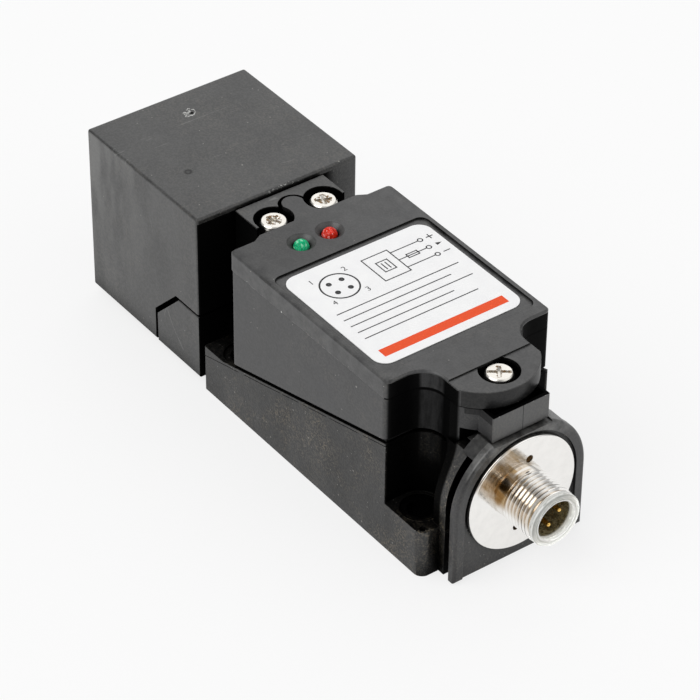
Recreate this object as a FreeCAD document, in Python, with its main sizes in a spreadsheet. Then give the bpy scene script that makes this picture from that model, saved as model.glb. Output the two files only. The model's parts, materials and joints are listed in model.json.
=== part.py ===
"""Inductive proximity sensor with a square sensing head, a plug-in electronics module and a plug connector.

Millimetres. The origin is the centre of the four mounting holes on the mounting face. +X points the way the
head senses, +Z points up, away from the mounting face.
"""
import FreeCAD, Part
import math
import os
import re
import Sketcher

# The driving dimensions: each one can be changed by itself
SIZES = {
    # Base
    "base_length": 73.8,
    "base_width": 40.0,
    "flange_height": 11.1,
    "slope_setback": 6.7,
    "rim_height": 26.0,
    "base_wall": 2.2,
    "base_floor": 2.0,
    "front_wall": 14.4,
    "front_corner": 0.5,
    "rear_corner": 2.0,
    "hole_pitch_x": 60.0,
    "hole_pitch_y": 30.0,
    "hole_radius": 2.65,
    "spot_radius": 4.1,
    "spot_depth": 0.4,
    "well_radius": 4.9,
    "dimple_radius": 0.7,
    "dimple_inset": 1.5,
    "dimple_depth": 4.0,
    "collar_inset": 4.5,
    "collar_depth": 1.6,
    "collar_rise": 1.9,
    "barrel_depth": 7.1,
    "channel_radius": 8.7,
    # Seal in the parting line
    "parting_gap": 0.95,
    "gasket_depth": 0.75,
    "gasket_inset": 0.8,
    # Plug connector
    "axis_height": 16.2,
    "plate_gap": 2.1,
    "plate_depth": 1.8,
    "plate_overhang": 0.5,
    "plate_lift": 0.3,
    "plate_corner": 0.7,
    "panel_depth": 0.7,
    "panel_margin": 2.2,
    "crown_reach": 3.4,
    "notch_web": 0.2,
    "notch_play": 0.3,
    "spigot_radius": 7.4,
    "spigot_play": 0.1,
    "spigot_length": 9.6,
    "lip_depth": 1.8,
    "seal_depth": 0.4,
    "seal_margin": 0.8,
    "disc_margin": 0.8,
    "disc_depth": 0.8,
    "spanner_radius": 0.85,
    "spanner_circle": 8.0,
    "spanner_turn": 9,
    "shank_radius": 5.2,
    "shank_play": 0.1,
    "shank_tail": 3.4,
    "nut_depth": 2.8,
    "nut_corner_radius": 8.2,
    "neck_radius": 5.5,
    "neck_length": 2.6,
    "thread_radius": 6.0,
    "thread_length": 6.4,
    "sleeve_bore": 4.0,
    "sleeve_wall": 0.6,
    "sleeve_rim": 1.3,
    "sleeve_rim_radius": 5.6,
    "sleeve_depth": 5.6,
    "pin_radius": 0.5,
    "pin_circle": 5.0,
    "pin_reach": 5.0,
    "pin_tail": 3.4,
    "insert_tail": 1.4,
    "wire_radius": 0.75,
    "wire_length": 8.0,
    "small_play": 0.05,
    # Socket block and plug pins
    "socket_length": 10.0,
    "socket_width": 19.0,
    "socket_height": 17.6,
    "plug_pitch": 4.6,
    "plug_radius": 0.75,
    "plug_play": 0.35,
    "plug_wall": 0.4,
    "plug_depth": 11.0,
    # Electronics module
    "module_setback": 10.1,
    "module_height": 15.0,
    "module_wall": 2.0,
    "module_floor": 1.8,
    "module_corner": 1.2,
    "lid_depth": 4.3,
    "lid_edge": 0.35,
    "lid_overhang": 0.4,
    "brow_reach": 0.8,
    "brow_margin": 1.1,
    "brow_blend": 1.4,
    "tongue_setback": 3.7,
    "tongue_radius": 2.4,
    "tongue_play": 0.8,
    "recess_depth": 0.4,
    "recess_setback": 12.7,
    "recess_gap": 2.7,
    "recess_wall": 1.2,
    "recess_corner": 2.0,
    "label_margin_front": 1.4,
    "label_margin_rear": 2.0,
    "label_margin_side": 1.2,
    "label_corner": 3.0,
    "label_depth": 0.15,
    "lug_margin": 1.4,
    "lug_reach": 3.2,
    "lug_step": 0.3,
    "lug_lift": 0.2,
    "lug_play": 0.3,
    "lug_setback": 0.8,
    "hood_half": 6.8,
    "hood_wall": 0.7,
    "hood_slot": 1.3,
    "hood_floor": 1.0,
    "hood_play": 0.6,
    "board_drop": 3.1,
    "board_depth": 1.6,
    "board_inset": 0.4,
    "chip_pitch": 1.0,
    # Indicator lamps
    "lamp_setback": 5.6,
    "green_offset": 6.6,
    "red_offset": -0.4,
    "lamp_radius": 1.65,
    "lamp_play": 0.15,
    "lamp_drop": -0.5,
    "dish_radius": 3.0,
    "dish_depth": 1.0,
    # Screws and threaded inserts
    "screw_radius": 1.5,
    "screw_play": 0.3,
    "screw_sink": 2.6,
    "screw_head_radius": 2.9,
    "screw_head_height": 2.0,
    "screw_crown_radius": 2.0,
    "pocket_radius": 4.2,
    "pocket_wrap": 0.8,
    "insert_wall": 0.75,
    "neck_insert_length": 7.6,
    "cover_insert_floor": 0.9,
    "neck_screw_setback": 5.6,
    "neck_screw_pitch": 12.4,
    "cover_screw_setback": 2.7,
    # Sensing head
    "head_length": 40.6,
    "head_height": 40.0,
    "head_lift": 1.7,
    "head_gap": 1.7,
    "head_edge": 0.6,
    "head_wall": 2.0,
    "head_web": 2.2,
    "fill_height": 5.8,
    "fill_width": 30.0,
    "notch_length": 16.4,
    "notch_height": 16.0,
    "notch_chamfer": 7.9,
    "foot_gap": 0.6,
    "foot_chamfer": 8.2,
    "foot_edge": 0.3,
    # Neck column of the bracket
    "neck_half": 10.9,
    "neck_setback": 8.5,
    "neck_gap": 0.6,
    "neck_drop": 0.2,
    "neck_clear": 0.8,
    "neck_edge": 0.5,
    "slot_flare": 1.4,
    "slot_flare_length": 2.2,
    # Screws from the foot up into the head
    "foot_screw_radius": 1.6,
    "foot_screw_setback": 7.4,
    "foot_screw_pitch": 24.0,
    "foot_screw_bite": 6.0,
    "foot_screw_head": 3.0,
    "foot_screw_sink": 1.8,
    # Contacts between the head and the base
    "contact_radius": 0.55,
    "contact_play": 0.3,
    "contact_wall": 0.3,
    "contact_depth": 6.0,
    "inner_contact_setback": 1.7,
    "inner_contact_pitch": 8.0,
    "outer_contact_setback": 2.5,
    "outer_contact_inset": 1.8,
    # Sensing coil
    "core_radius": 15.0,
    "core_length": 10.0,
    "core_post": 5.0,
    "core_groove_radius": 12.0,
    "core_groove_depth": 7.0,
    "bobbin_wall": 0.8,
    "coil_play": 0.2,
    "head_board_gap": 2.5,
    "head_board_depth": 1.6,
    "head_board_half": 15.0,
    # How far a cutting shape runs past the face that it opens
    "spare": 2.0,
}

# Places worked out from the driving dimensions
PLACES = {
    "base_front": "base_length / 2",
    "base_half": "base_width / 2",
    "hole_x": "hole_pitch_x / 2",
    "hole_y": "hole_pitch_y / 2",
    "well_edge": "hole_x - well_radius",
    "block_side": "hole_y - well_radius",
    "slope_start": "base_front - slope_setback",
    "slope_rise": "(rim_height - flange_height) / (slope_start + well_edge)",
    "cavity_front": "base_front - front_wall",
    "cavity_rear": "well_edge - base_wall",
    "collar_face": "base_front + collar_depth",
    "collar_radius": "base_half - collar_inset",
    "collar_top": "rim_height + collar_rise",
    "plate_radius": "collar_radius + plate_overhang",
    "panel_radius": "plate_radius - panel_margin",
    "disc_radius": "panel_radius - disc_margin",
    "seal_radius": "disc_radius - seal_margin",
    "plate_front": "collar_face + plate_gap",
    "plate_rim": "plate_front + plate_depth",
    "plate_face": "plate_rim - panel_depth",
    "crown_end": "plate_front - crown_reach",
    "crown_bottom": "collar_top + small_play",
    "notch_floor": "axis_height + panel_radius + notch_web",
    "notch_half": "hood_half + notch_play",
    "spigot_end": "plate_front - spigot_length",
    "lip_end": "spigot_end - lip_depth",
    "seal_face": "plate_face + seal_depth",
    "disc_face": "seal_face + disc_depth",
    "thread_start": "disc_face + neck_length",
    "shell_end": "thread_start + thread_length",
    "sleeve_end": "shell_end + sleeve_rim",
    "insert_face": "shell_end - sleeve_depth",
    "pin_end": "insert_face + pin_reach",
    "shank_end": "lip_end - shank_tail",
    "insert_end": "shank_end - insert_tail",
    "pin_start": "insert_end - pin_tail",
    "wire_end": "pin_start - wire_length",
    "socket_top": "base_floor + socket_height",
    "socket_middle": "wire_end - socket_length / 2",
    "module_front": "base_front - module_setback",
    "module_half": "base_half",
    "lid_front": "module_front + lid_overhang",
    "brow_front": "lid_front + brow_reach",
    "brow_half": "neck_half + brow_margin",
    "lid_top": "rim_height + module_height",
    "seam": "lid_top - lid_depth",
    "module_rim": "rim_height + parting_gap",
    "tongue_centre": "base_front - tongue_setback",
    "tongue_slot": "tongue_radius + tongue_play",
    "recess_front": "lid_front - recess_setback",
    "recess_rear": "well_edge - recess_gap",
    "recess_half": "module_half - recess_wall",
    "label_front": "recess_front - label_margin_front",
    "label_rear": "recess_rear - label_margin_rear",
    "label_half": "recess_half - label_margin_side",
    "lug_radius": "block_side + lug_margin",
    "lug_end": "base_front + lug_reach",
    "lug_centre": "lug_end - lug_radius",
    "lug_side": "lug_centre + sqrt(lug_radius ^ 2 - block_side ^ 2)",
    "lug_stop": "lug_side + lug_play",
    "lug_shoulder": "hood_bottom + lug_lift",
    "hood_bottom": "notch_floor + hood_play",
    "hood_inside": "lug_end - lug_setback + hood_slot",
    "hood_face": "hood_inside + hood_wall",
    "board_top": "seam - board_drop",
    "board_bottom": "board_top - board_depth",
    "lamp_x": "module_front - lamp_setback",
    "lamp_top": "lid_top - lamp_drop",
    "head_rear": "base_front + head_gap",
    "head_front": "head_rear + head_length",
    "head_width": "base_width",
    "head_half": "base_half",
    "head_top": "head_lift + head_height",
    "head_middle": "head_lift + head_height / 2",
    "notch_front": "head_rear + notch_length",
    "notch_top": "head_lift + notch_height",
    "foot_front": "notch_front - foot_gap",
    "foot_top": "notch_top - foot_gap",
    "foot_screw_x": "head_rear + foot_screw_setback",
    "foot_screw_y": "foot_screw_pitch / 2",
    "chamber_rear": "notch_front + head_web",
    "chamber_front": "head_front - head_wall",
    "chamber_half": "head_half - head_wall",
    "chamber_bottom": "head_lift + head_wall",
    "chamber_top": "head_top - head_wall",
    "core_rear": "chamber_front - core_length",
    "core_floor": "chamber_front - core_groove_depth",
    "head_board_front": "core_rear - head_board_gap",
    "neck_rear": "base_front - neck_setback",
    "neck_front": "head_rear - neck_gap",
    "neck_bottom": "flange_height + neck_clear",
    "neck_top": "lid_top - neck_drop",
    "screw_seat": "lid_top - screw_sink",
    "screw_top": "screw_seat + screw_head_height",
    "screw_bore": "screw_radius + screw_play",
    "insert_radius": "screw_bore + insert_wall",
    "neck_screw_x": "base_front - neck_screw_setback",
    "neck_screw_y": "neck_screw_pitch / 2",
    "cover_screw_x": "base_front - cover_screw_setback",
    "neck_insert_bottom": "flange_height - neck_insert_length",
    "cover_insert_bottom": "axis_height + shank_radius + shank_play + cover_insert_floor",
    "inner_contact_x": "base_front - inner_contact_setback",
    "inner_contact_y": "inner_contact_pitch / 2",
    "outer_contact_x": "base_front - outer_contact_setback",
    "outer_contact_y": "neck_half - outer_contact_inset",
}

ABOUT_Y = FreeCAD.Rotation(FreeCAD.Vector(0, 1, 0), 90)
UP = FreeCAD.Vector(0, 0, 1)

doc = FreeCAD.newDocument("proximity_sensor")
sheet = doc.addObject("Spreadsheet::Sheet", "Sizes")
for row, (size_name, size) in enumerate(SIZES.items(), start=1):
    sheet.set("A%d" % row, size_name)
    sheet.set("B%d" % row, str(size))
    sheet.setAlias("B%d" % row, size_name)
doc.recompute()

pieces = {}


def full(expression):
    """The expression with every place written out and every size read from the sheet."""
    def word(match):
        name = match.group()
        if name in PLACES:
            return "(" + full(PLACES[name]) + ")"
        if name in SIZES:
            return "Sizes." + name
        return name
    return re.sub(r"[a-z][a-z_]*", word, expression)


def number(expression):
    """The value of an expression at the sheet's present sizes."""
    return float(sheet.evalExpression(full(expression)))


def bind(thing, path, expression):
    """Drive one property of an object from the sheet."""
    thing.setExpression(path, full(expression))


def rim_at(x):
    """Height of the base's slanted rim at one place along X."""
    return "(flange_height + (slope_start - (%s)) * slope_rise)" % x


def body(label):
    """A new piece made from sketches and features."""
    made = doc.addObject("PartDesign::Body", label)
    made.Label = label
    pieces[label] = made
    return made


def sketch(owner, plane, normal="0", across="0", along="0"):
    """A sketch on one of the body's origin planes, shifted along the plane's normal and its own axes."""
    made = owner.newObject("Sketcher::SketchObject", owner.Label + "_sketch")
    origin = next(feature for feature in owner.Origin.OriginFeatures if feature.Role == plane)
    made.AttachmentSupport = (origin, "")
    made.MapMode = "FlatFace"
    bind(made, "AttachmentOffset.Base.x", across)
    bind(made, "AttachmentOffset.Base.y", along)
    bind(made, "AttachmentOffset.Base.z", normal)
    return made


def flat(x, y):
    """A point of a sketch at the sheet's present sizes."""
    return FreeCAD.Vector(number(x), number(y), 0)


def arc_between(start, end, centre):
    """The shorter arc from start to end about a centre, and which of its ends comes first on the way."""
    ring = Part.Circle(centre, UP, (start - centre).Length)
    first = math.atan2(start.y - centre.y, start.x - centre.x)
    last = math.atan2(end.y - centre.y, end.x - centre.x)
    if (last - first) % (2 * math.pi) < math.pi:
        return Part.ArcOfCircle(ring, first, last), (1, 2)
    return Part.ArcOfCircle(ring, last, first), (2, 1)


def outline(made, corners):
    """A closed outline. A corner is (x, y), or (x, y, radius, centre x, centre y) after an arc."""
    offset = made.GeometryCount
    points = [flat(corner[0], corner[1]) for corner in corners]
    ends = []
    for index, corner in enumerate(corners):
        if len(corner) == 2:
            made.addGeometry(Part.LineSegment(points[index - 1], points[index]))
            ends.append((1, 2))
        else:
            curve, order = arc_between(points[index - 1], points[index], flat(corner[3], corner[4]))
            made.addGeometry(curve)
            ends.append(order)
    rules = []
    drives = []
    for index, corner in enumerate(corners):
        edge = offset + index
        before = offset + (index - 1) % len(corners)
        rules.append(Sketcher.Constraint("Coincident", before, ends[index - 1][1], edge, ends[index][0]))
        drives.append(None)
        for kind, expression in (("DistanceX", corner[0]), ("DistanceY", corner[1])):
            value = number(expression)
            rules.append(Sketcher.Constraint(kind, -1, 1, edge, ends[index][1], value))
            drives.append(expression)
        if len(corner) > 2:
            rules.append(Sketcher.Constraint("Radius", edge, number(corner[2])))
            drives.append(corner[2])
    drive(made, rules, drives)


def circle(made, x, y, radius):
    """A full circle in a sketch."""
    edge = made.addGeometry(Part.Circle(flat(x, y), UP, number(radius)))
    rules = [
        Sketcher.Constraint("DistanceX", -1, 1, edge, 3, number(x)),
        Sketcher.Constraint("DistanceY", -1, 1, edge, 3, number(y)),
        Sketcher.Constraint("Radius", edge, number(radius)),
    ]
    drive(made, rules, [x, y, radius])


def drive(made, rules, drives):
    """Add constraints to a sketch and bind those that carry a size."""
    for index, expression in zip(made.addConstraint(rules), drives):
        if expression is not None:
            bind(made, "Constraints[%d]" % index, expression)


def rectangle(made, low_x, low_y, high_x, high_y):
    """A rectangle between two corners."""
    outline(made, [(low_x, low_y), (high_x, low_y), (high_x, high_y), (low_x, high_y)])


def minus(expression):
    """The opposite of an expression."""
    return "-(%s)" % expression


def mirrored(half):
    """A closed outline from its half on the +Y side, which starts and ends on the X axis."""
    other = []
    for index in range(len(half) - 1, 0, -1):
        corner = half[index]
        x, y = half[index - 1][0], minus(half[index - 1][1])
        if len(corner) == 2:
            other.append((x, y))
        else:
            other.append((x, y, corner[2], corner[3], minus(corner[4])))
    return half[1:] + other


def both_sides(made, corners):
    """The same outline on the +Y side and, mirrored, on the -Y side."""
    outline(made, corners)
    turned = []
    for corner in corners:
        if len(corner) == 2:
            turned.append((corner[0], minus(corner[1])))
        else:
            turned.append((corner[0], minus(corner[1]), corner[2], corner[3], minus(corner[4])))
    outline(made, turned)


def arch(made, radius, bottom):
    """A doorway outline about the connector axis: flat bottom, straight sides, round top."""
    side = minus(radius)
    outline(made, [
        (radius, bottom),
        (radius, "axis_height"),
        ("0", "axis_height + (%s)" % radius, radius, "0", "axis_height"),
        (side, "axis_height", radius, "0", "axis_height"),
        (side, bottom),
    ])


def keyhole(made, radius, top):
    """A slot outline about the connector axis: round bottom, straight sides, flat top."""
    side = minus(radius)
    outline(made, [
        (side, top),
        (side, "axis_height"),
        ("0", "axis_height - (%s)" % radius, radius, "0", "axis_height"),
        (radius, "axis_height", radius, "0", "axis_height"),
        (radius, top),
    ])


def feature(owner, kind, profile, length, both, back):
    """A pad or a pocket of a sketch, which has to change the body's volume."""
    before = owner.Tip.Shape.Volume if owner.Tip else 0.0
    made = owner.newObject("PartDesign::" + kind, owner.Label + "_" + kind.lower())
    made.Profile = profile
    made.SideType = "Symmetric" if both else "One side"
    made.Reversed = back
    bind(made, "Length", length)
    doc.recompute()
    change = made.Shape.Volume - before
    if (change <= 0) if kind == "Pad" else (change >= 0):
        raise RuntimeError("%s of %s changes nothing" % (kind, owner.Label))
    return made


def pad(owner, profile, length, both=False, back=False):
    """Add a sketch's outline, extruded along its plane's normal."""
    return feature(owner, "Pad", profile, length, both, back)


def pocket(owner, profile, length, both=False, back=False):
    """Cut a sketch's outline against its plane's normal, or along it where back is true."""
    return feature(owner, "Pocket", profile, length, both, back)


def revolve(owner, profile, axis):
    """Turn a sketch's outline about one of its own axes."""
    made = owner.newObject("PartDesign::Revolution", owner.Label + "_turned")
    made.Profile = profile
    made.ReferenceAxis = (profile, [axis])
    made.Angle = 360
    doc.recompute()
    return made


def round_edges(owner, radius, wanted):
    """Round the edges of a body that a test picks by their middle point and extent."""
    dress_edges(owner, "Fillet", "Radius", radius, wanted)


def break_edges(owner, size, wanted):
    """Chamfer the edges of a body that a test picks by their middle point and extent."""
    dress_edges(owner, "Chamfer", "Size", size, wanted)


def dress_edges(owner, kind, path, size, wanted):
    """Take the sharpness off the chosen edges of a body."""
    base = owner.Tip
    names = []
    for index, edge in enumerate(base.Shape.Edges, start=1):
        middle = edge.valueAt((edge.FirstParameter + edge.LastParameter) / 2)
        span = edge.BoundBox
        if wanted(middle, span):
            names.append("Edge%d" % index)
    if not names:
        raise RuntimeError("no edge to dress on " + owner.Label)
    made = owner.newObject("PartDesign::" + kind, owner.Label + "_" + kind.lower())
    made.Base = (base, names)
    bind(made, path, size)
    doc.recompute()


def near(one, other):
    """Whether two places are the same within the modelling tolerance."""
    return abs(one - other) < 1e-4


def upright(span):
    """Whether an edge runs straight up."""
    return near(span.XLength, 0) and near(span.YLength, 0)


def cylinder(name, radius, low, high, x="0", y="0"):
    """A round bar along Z."""
    made = doc.addObject("Part::Cylinder", name)
    bind(made, "Radius", radius)
    bind(made, "Height", "(%s) - (%s)" % (high, low))
    bind(made, "Placement.Base.x", x)
    bind(made, "Placement.Base.y", y)
    bind(made, "Placement.Base.z", low)
    return made


def bar(name, radius, low, high, y="0", z="0"):
    """A round bar along X."""
    made = doc.addObject("Part::Cylinder", name)
    made.Placement.Rotation = ABOUT_Y
    bind(made, "Radius", radius)
    bind(made, "Height", "(%s) - (%s)" % (high, low))
    bind(made, "Placement.Base.x", low)
    bind(made, "Placement.Base.y", y)
    bind(made, "Placement.Base.z", z)
    return made


def box(name, low, high):
    """A block between two corners, each a triple of expressions."""
    made = doc.addObject("Part::Box", name)
    for side, axis, start, end in zip(("Length", "Width", "Height"), "xyz", low, high):
        bind(made, side, "(%s) - (%s)" % (end, start))
        bind(made, "Placement.Base." + axis, start)
    return made


def group(name, members):
    """Several separate solids as one object."""
    made = doc.addObject("Part::Compound", name)
    made.Links = members
    return made


def cut(name, base, tool):
    """One object less another."""
    made = doc.addObject("Part::Cut", name)
    made.Base = base
    made.Tool = tool
    return made


def tubes(label, outer, inner, low, high, places):
    """Upright sleeves at the given places, as one piece."""
    members = []
    for index, (x, y) in enumerate(places):
        skin = cylinder("%s_skin_%d" % (label, index), outer, low, high, x, y)
        bore = cylinder("%s_bore_%d" % (label, index), inner,
                        "(%s) - spare" % low, "(%s) + spare" % high, x, y)
        members.append(cut("%s_%d" % (label, index), skin, bore))
    keep(label, group(label, members) if len(members) > 1 else members[0])


def keep(label, made):
    """Name an object as a piece of the part."""
    made.Label = label
    pieces[label] = made
    return made


def pin_places():
    """The four contact pins about the connector axis, as Y and Z."""
    step = "pin_circle / 2"
    level = [(step, "axis_height"), (minus(step), "axis_height")]
    plumb = [("0", "axis_height + " + step), ("0", "axis_height - " + step)]
    return level + plumb


def plug_places():
    """The four plug pins in a row across the socket block, as X and Y."""
    steps = ("-1.5", "-0.5", "0.5", "1.5")
    return [(minus("socket_middle"), "%s * plug_pitch" % step) for step in steps]


def neck_screw_places():
    """The two neck screws, as X and Y."""
    return [("neck_screw_x", "neck_screw_y"), ("neck_screw_x", "-neck_screw_y")]


def contact_places():
    """The four contacts under the neck, as X and Y."""
    inner = [("inner_contact_x", "inner_contact_y"), ("inner_contact_x", "-inner_contact_y")]
    outer = [("outer_contact_x", "outer_contact_y"), ("outer_contact_x", "-outer_contact_y")]
    return inner + outer


def mount_places():
    """The four mounting holes, as X and Y."""
    return [(x, y) for x in ("hole_x", "-hole_x") for y in ("hole_y", "-hole_y")]


def circles(owner, places, radius, level):
    """A level sketch with one circle at each place."""
    made = sketch(owner, "XY_Plane", level)
    for x, y in places:
        circle(made, x, y, radius)
    return made


def build_base():
    """Moulded base: flanges, slanted rim, screw wells, wiring space and the connector plate's collar."""
    base = body("base_housing")
    side = sketch(base, "XZ_Plane")
    outline(side, [
        ("-base_front", "0"),
        ("base_front", "0"),
        ("base_front", "flange_height"),
        ("slope_start", "flange_height"),
        ("-well_edge", "rim_height"),
        ("-base_front", "rim_height"),
    ])
    pad(base, side, "base_width", both=True)

    corners = sketch(base, "XY_Plane", "flange_height")
    both_sides(corners, [
        ("-base_front - spare", "block_side"),
        ("-hole_x", "block_side"),
        ("-hole_x", "base_half + spare"),
        ("-base_front - spare", "base_half + spare"),
    ])
    pocket(base, corners, "rim_height", back=True)

    barrel = sketch(base, "YZ_Plane", "-collar_face")
    arch(barrel, "collar_radius", "0")
    pad(base, barrel, "barrel_depth")

    trim = sketch(base, "XZ_Plane")
    rectangle(trim, "-collar_face - spare", "collar_top", "-well_edge", "axis_height + collar_radius + spare")
    pocket(base, trim, "2 * collar_radius + spare", both=True)
    lug = sketch(base, "XY_Plane", "rim_height")
    rectangle(lug, "-lug_stop", "-block_side - lug_play", "-well_edge", "block_side + lug_play")
    pocket(base, lug, "rim_height", back=True)

    wells = sketch(base, "XY_Plane", "flange_height")
    both_sides(wells, [
        ("-hole_x - well_radius", "hole_y"),
        ("-hole_x", "block_side", "well_radius", "-hole_x", "hole_y"),
        ("-well_edge", "hole_y", "well_radius", "-hole_x", "hole_y"),
        ("-well_edge", "base_half + spare"),
        ("-hole_x - well_radius", "base_half + spare"),
    ])
    pocket(base, wells, "rim_height", back=True)

    space = sketch(base, "XY_Plane", "base_floor")
    rectangle(space, "-cavity_rear", "-base_half + base_wall", "cavity_front", "base_half - base_wall")
    pocket(base, space, "rim_height", back=True)

    channel = sketch(base, "XY_Plane", "base_floor")
    rectangle(channel, "-spigot_end", "-channel_radius", "-cavity_rear + spare", "channel_radius")
    pocket(base, channel, "rim_height", back=True)

    slot = sketch(base, "YZ_Plane", "-collar_face - spare")
    keyhole(slot, "spigot_radius + spigot_play", "axis_height + collar_radius + spare")
    pocket(base, slot, "collar_face - spigot_end + 2 * spare", back=True)

    pocket(base, circles(base, mount_places(), "hole_radius", "0"), "flange_height + spare", back=True)
    spots = circles(base, mount_places(), "spot_radius", "flange_height - spot_depth")
    pocket(base, spots, "well_radius", back=True)
    inserts = circles(base, neck_screw_places(), "insert_radius", "neck_insert_bottom")
    pocket(base, inserts, "rim_height", back=True)
    contacts = circles(base, contact_places(), "contact_radius + contact_play + contact_wall",
                       "flange_height - contact_depth")
    pocket(base, contacts, "rim_height", back=True)

    inset = "base_half - dimple_inset"
    setback = "-base_front + dimple_inset"
    dimples = circles(base, [(setback, inset), (setback, minus(inset))], "dimple_radius", "flange_height")
    pocket(base, dimples, "dimple_depth")

    end = number("base_front")
    wide = number("base_half")
    for radius, place in (("front_corner", end), ("rear_corner", -end)):
        round_edges(base, radius, lambda middle, span: upright(span) and near(middle.x, place)
                    and near(abs(middle.y), wide))


def build_base_gasket():
    """Seal on the base's slanted rim, set back from the outer walls."""
    gasket = body("base_gasket")
    front = "module_front - gasket_inset"
    rear = "-well_edge + gasket_inset"
    strip = sketch(gasket, "XZ_Plane")
    outline(strip, [
        (front, rim_at(front)),
        (front, rim_at(front) + " + gasket_depth"),
        (rear, rim_at(rear) + " + gasket_depth"),
        (rear, rim_at(rear)),
    ])
    pad(gasket, strip, "base_width - 2 * gasket_inset", both=True)
    opening = sketch(gasket, "XY_Plane")
    rectangle(opening, "-cavity_rear", "-base_half + base_wall", "cavity_front", "base_half - base_wall")
    pocket(gasket, opening, "rim_height + spare", back=True)


def build_connector_plate():
    """End plate: D-shaped rim, sunk panel, crown over the collar, spigot in the slot, lip behind the wall."""
    plate = body("connector_plate")
    rim = sketch(plate, "YZ_Plane", "-plate_rim")
    arch(rim, "plate_radius", "plate_lift")
    pad(plate, rim, "plate_depth")
    back_face = -number("plate_rim")
    round_edges(plate, "plate_corner",
                lambda middle, span: near(span.XLength, 0) and near(middle.x, back_face))
    panel = sketch(plate, "YZ_Plane", "-plate_rim - spare")
    arch(panel, "panel_radius", "plate_lift - spare")
    pocket(plate, panel, "panel_depth + spare", back=True)

    crown = sketch(plate, "YZ_Plane", "-plate_front")
    reach = "sqrt(plate_radius ^ 2 - (crown_bottom - axis_height) ^ 2)"
    outline(crown, [
        (reach, "crown_bottom"),
        ("0", "axis_height + plate_radius", "plate_radius", "0", "axis_height"),
        (minus(reach), "crown_bottom", "plate_radius", "0", "axis_height"),
    ])
    pad(plate, crown, "crown_reach")
    seat = sketch(plate, "XY_Plane", "notch_floor")
    rectangle(seat, "-plate_rim - spare", "-notch_half", "-crown_end + spare", "notch_half")
    pocket(plate, seat, "plate_radius", back=True)

    spigot = sketch(plate, "YZ_Plane", "-plate_front")
    keyhole(spigot, "spigot_radius", "rim_height + small_play")
    pad(plate, spigot, "spigot_length + lip_depth")
    key = sketch(plate, "YZ_Plane", "-plate_front")
    keyhole(key, "spigot_radius", "crown_bottom")
    pad(plate, key, "plate_front - lug_stop")
    lip = sketch(plate, "YZ_Plane", "-spigot_end + spigot_play")
    keyhole(lip, "channel_radius - spigot_play", "rim_height")
    pad(plate, lip, "lip_depth - spigot_play")
    bore = sketch(plate, "YZ_Plane", "-plate_face - spare")
    circle(bore, "0", "axis_height", "shank_radius + shank_play")
    pocket(plate, bore, "plate_face - lip_end + 2 * spare", back=True)
    thread = circles(plate, [("-cover_screw_x", "0")], "insert_radius", "cover_insert_bottom")
    pocket(plate, thread, "rim_height", back=True)


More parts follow.
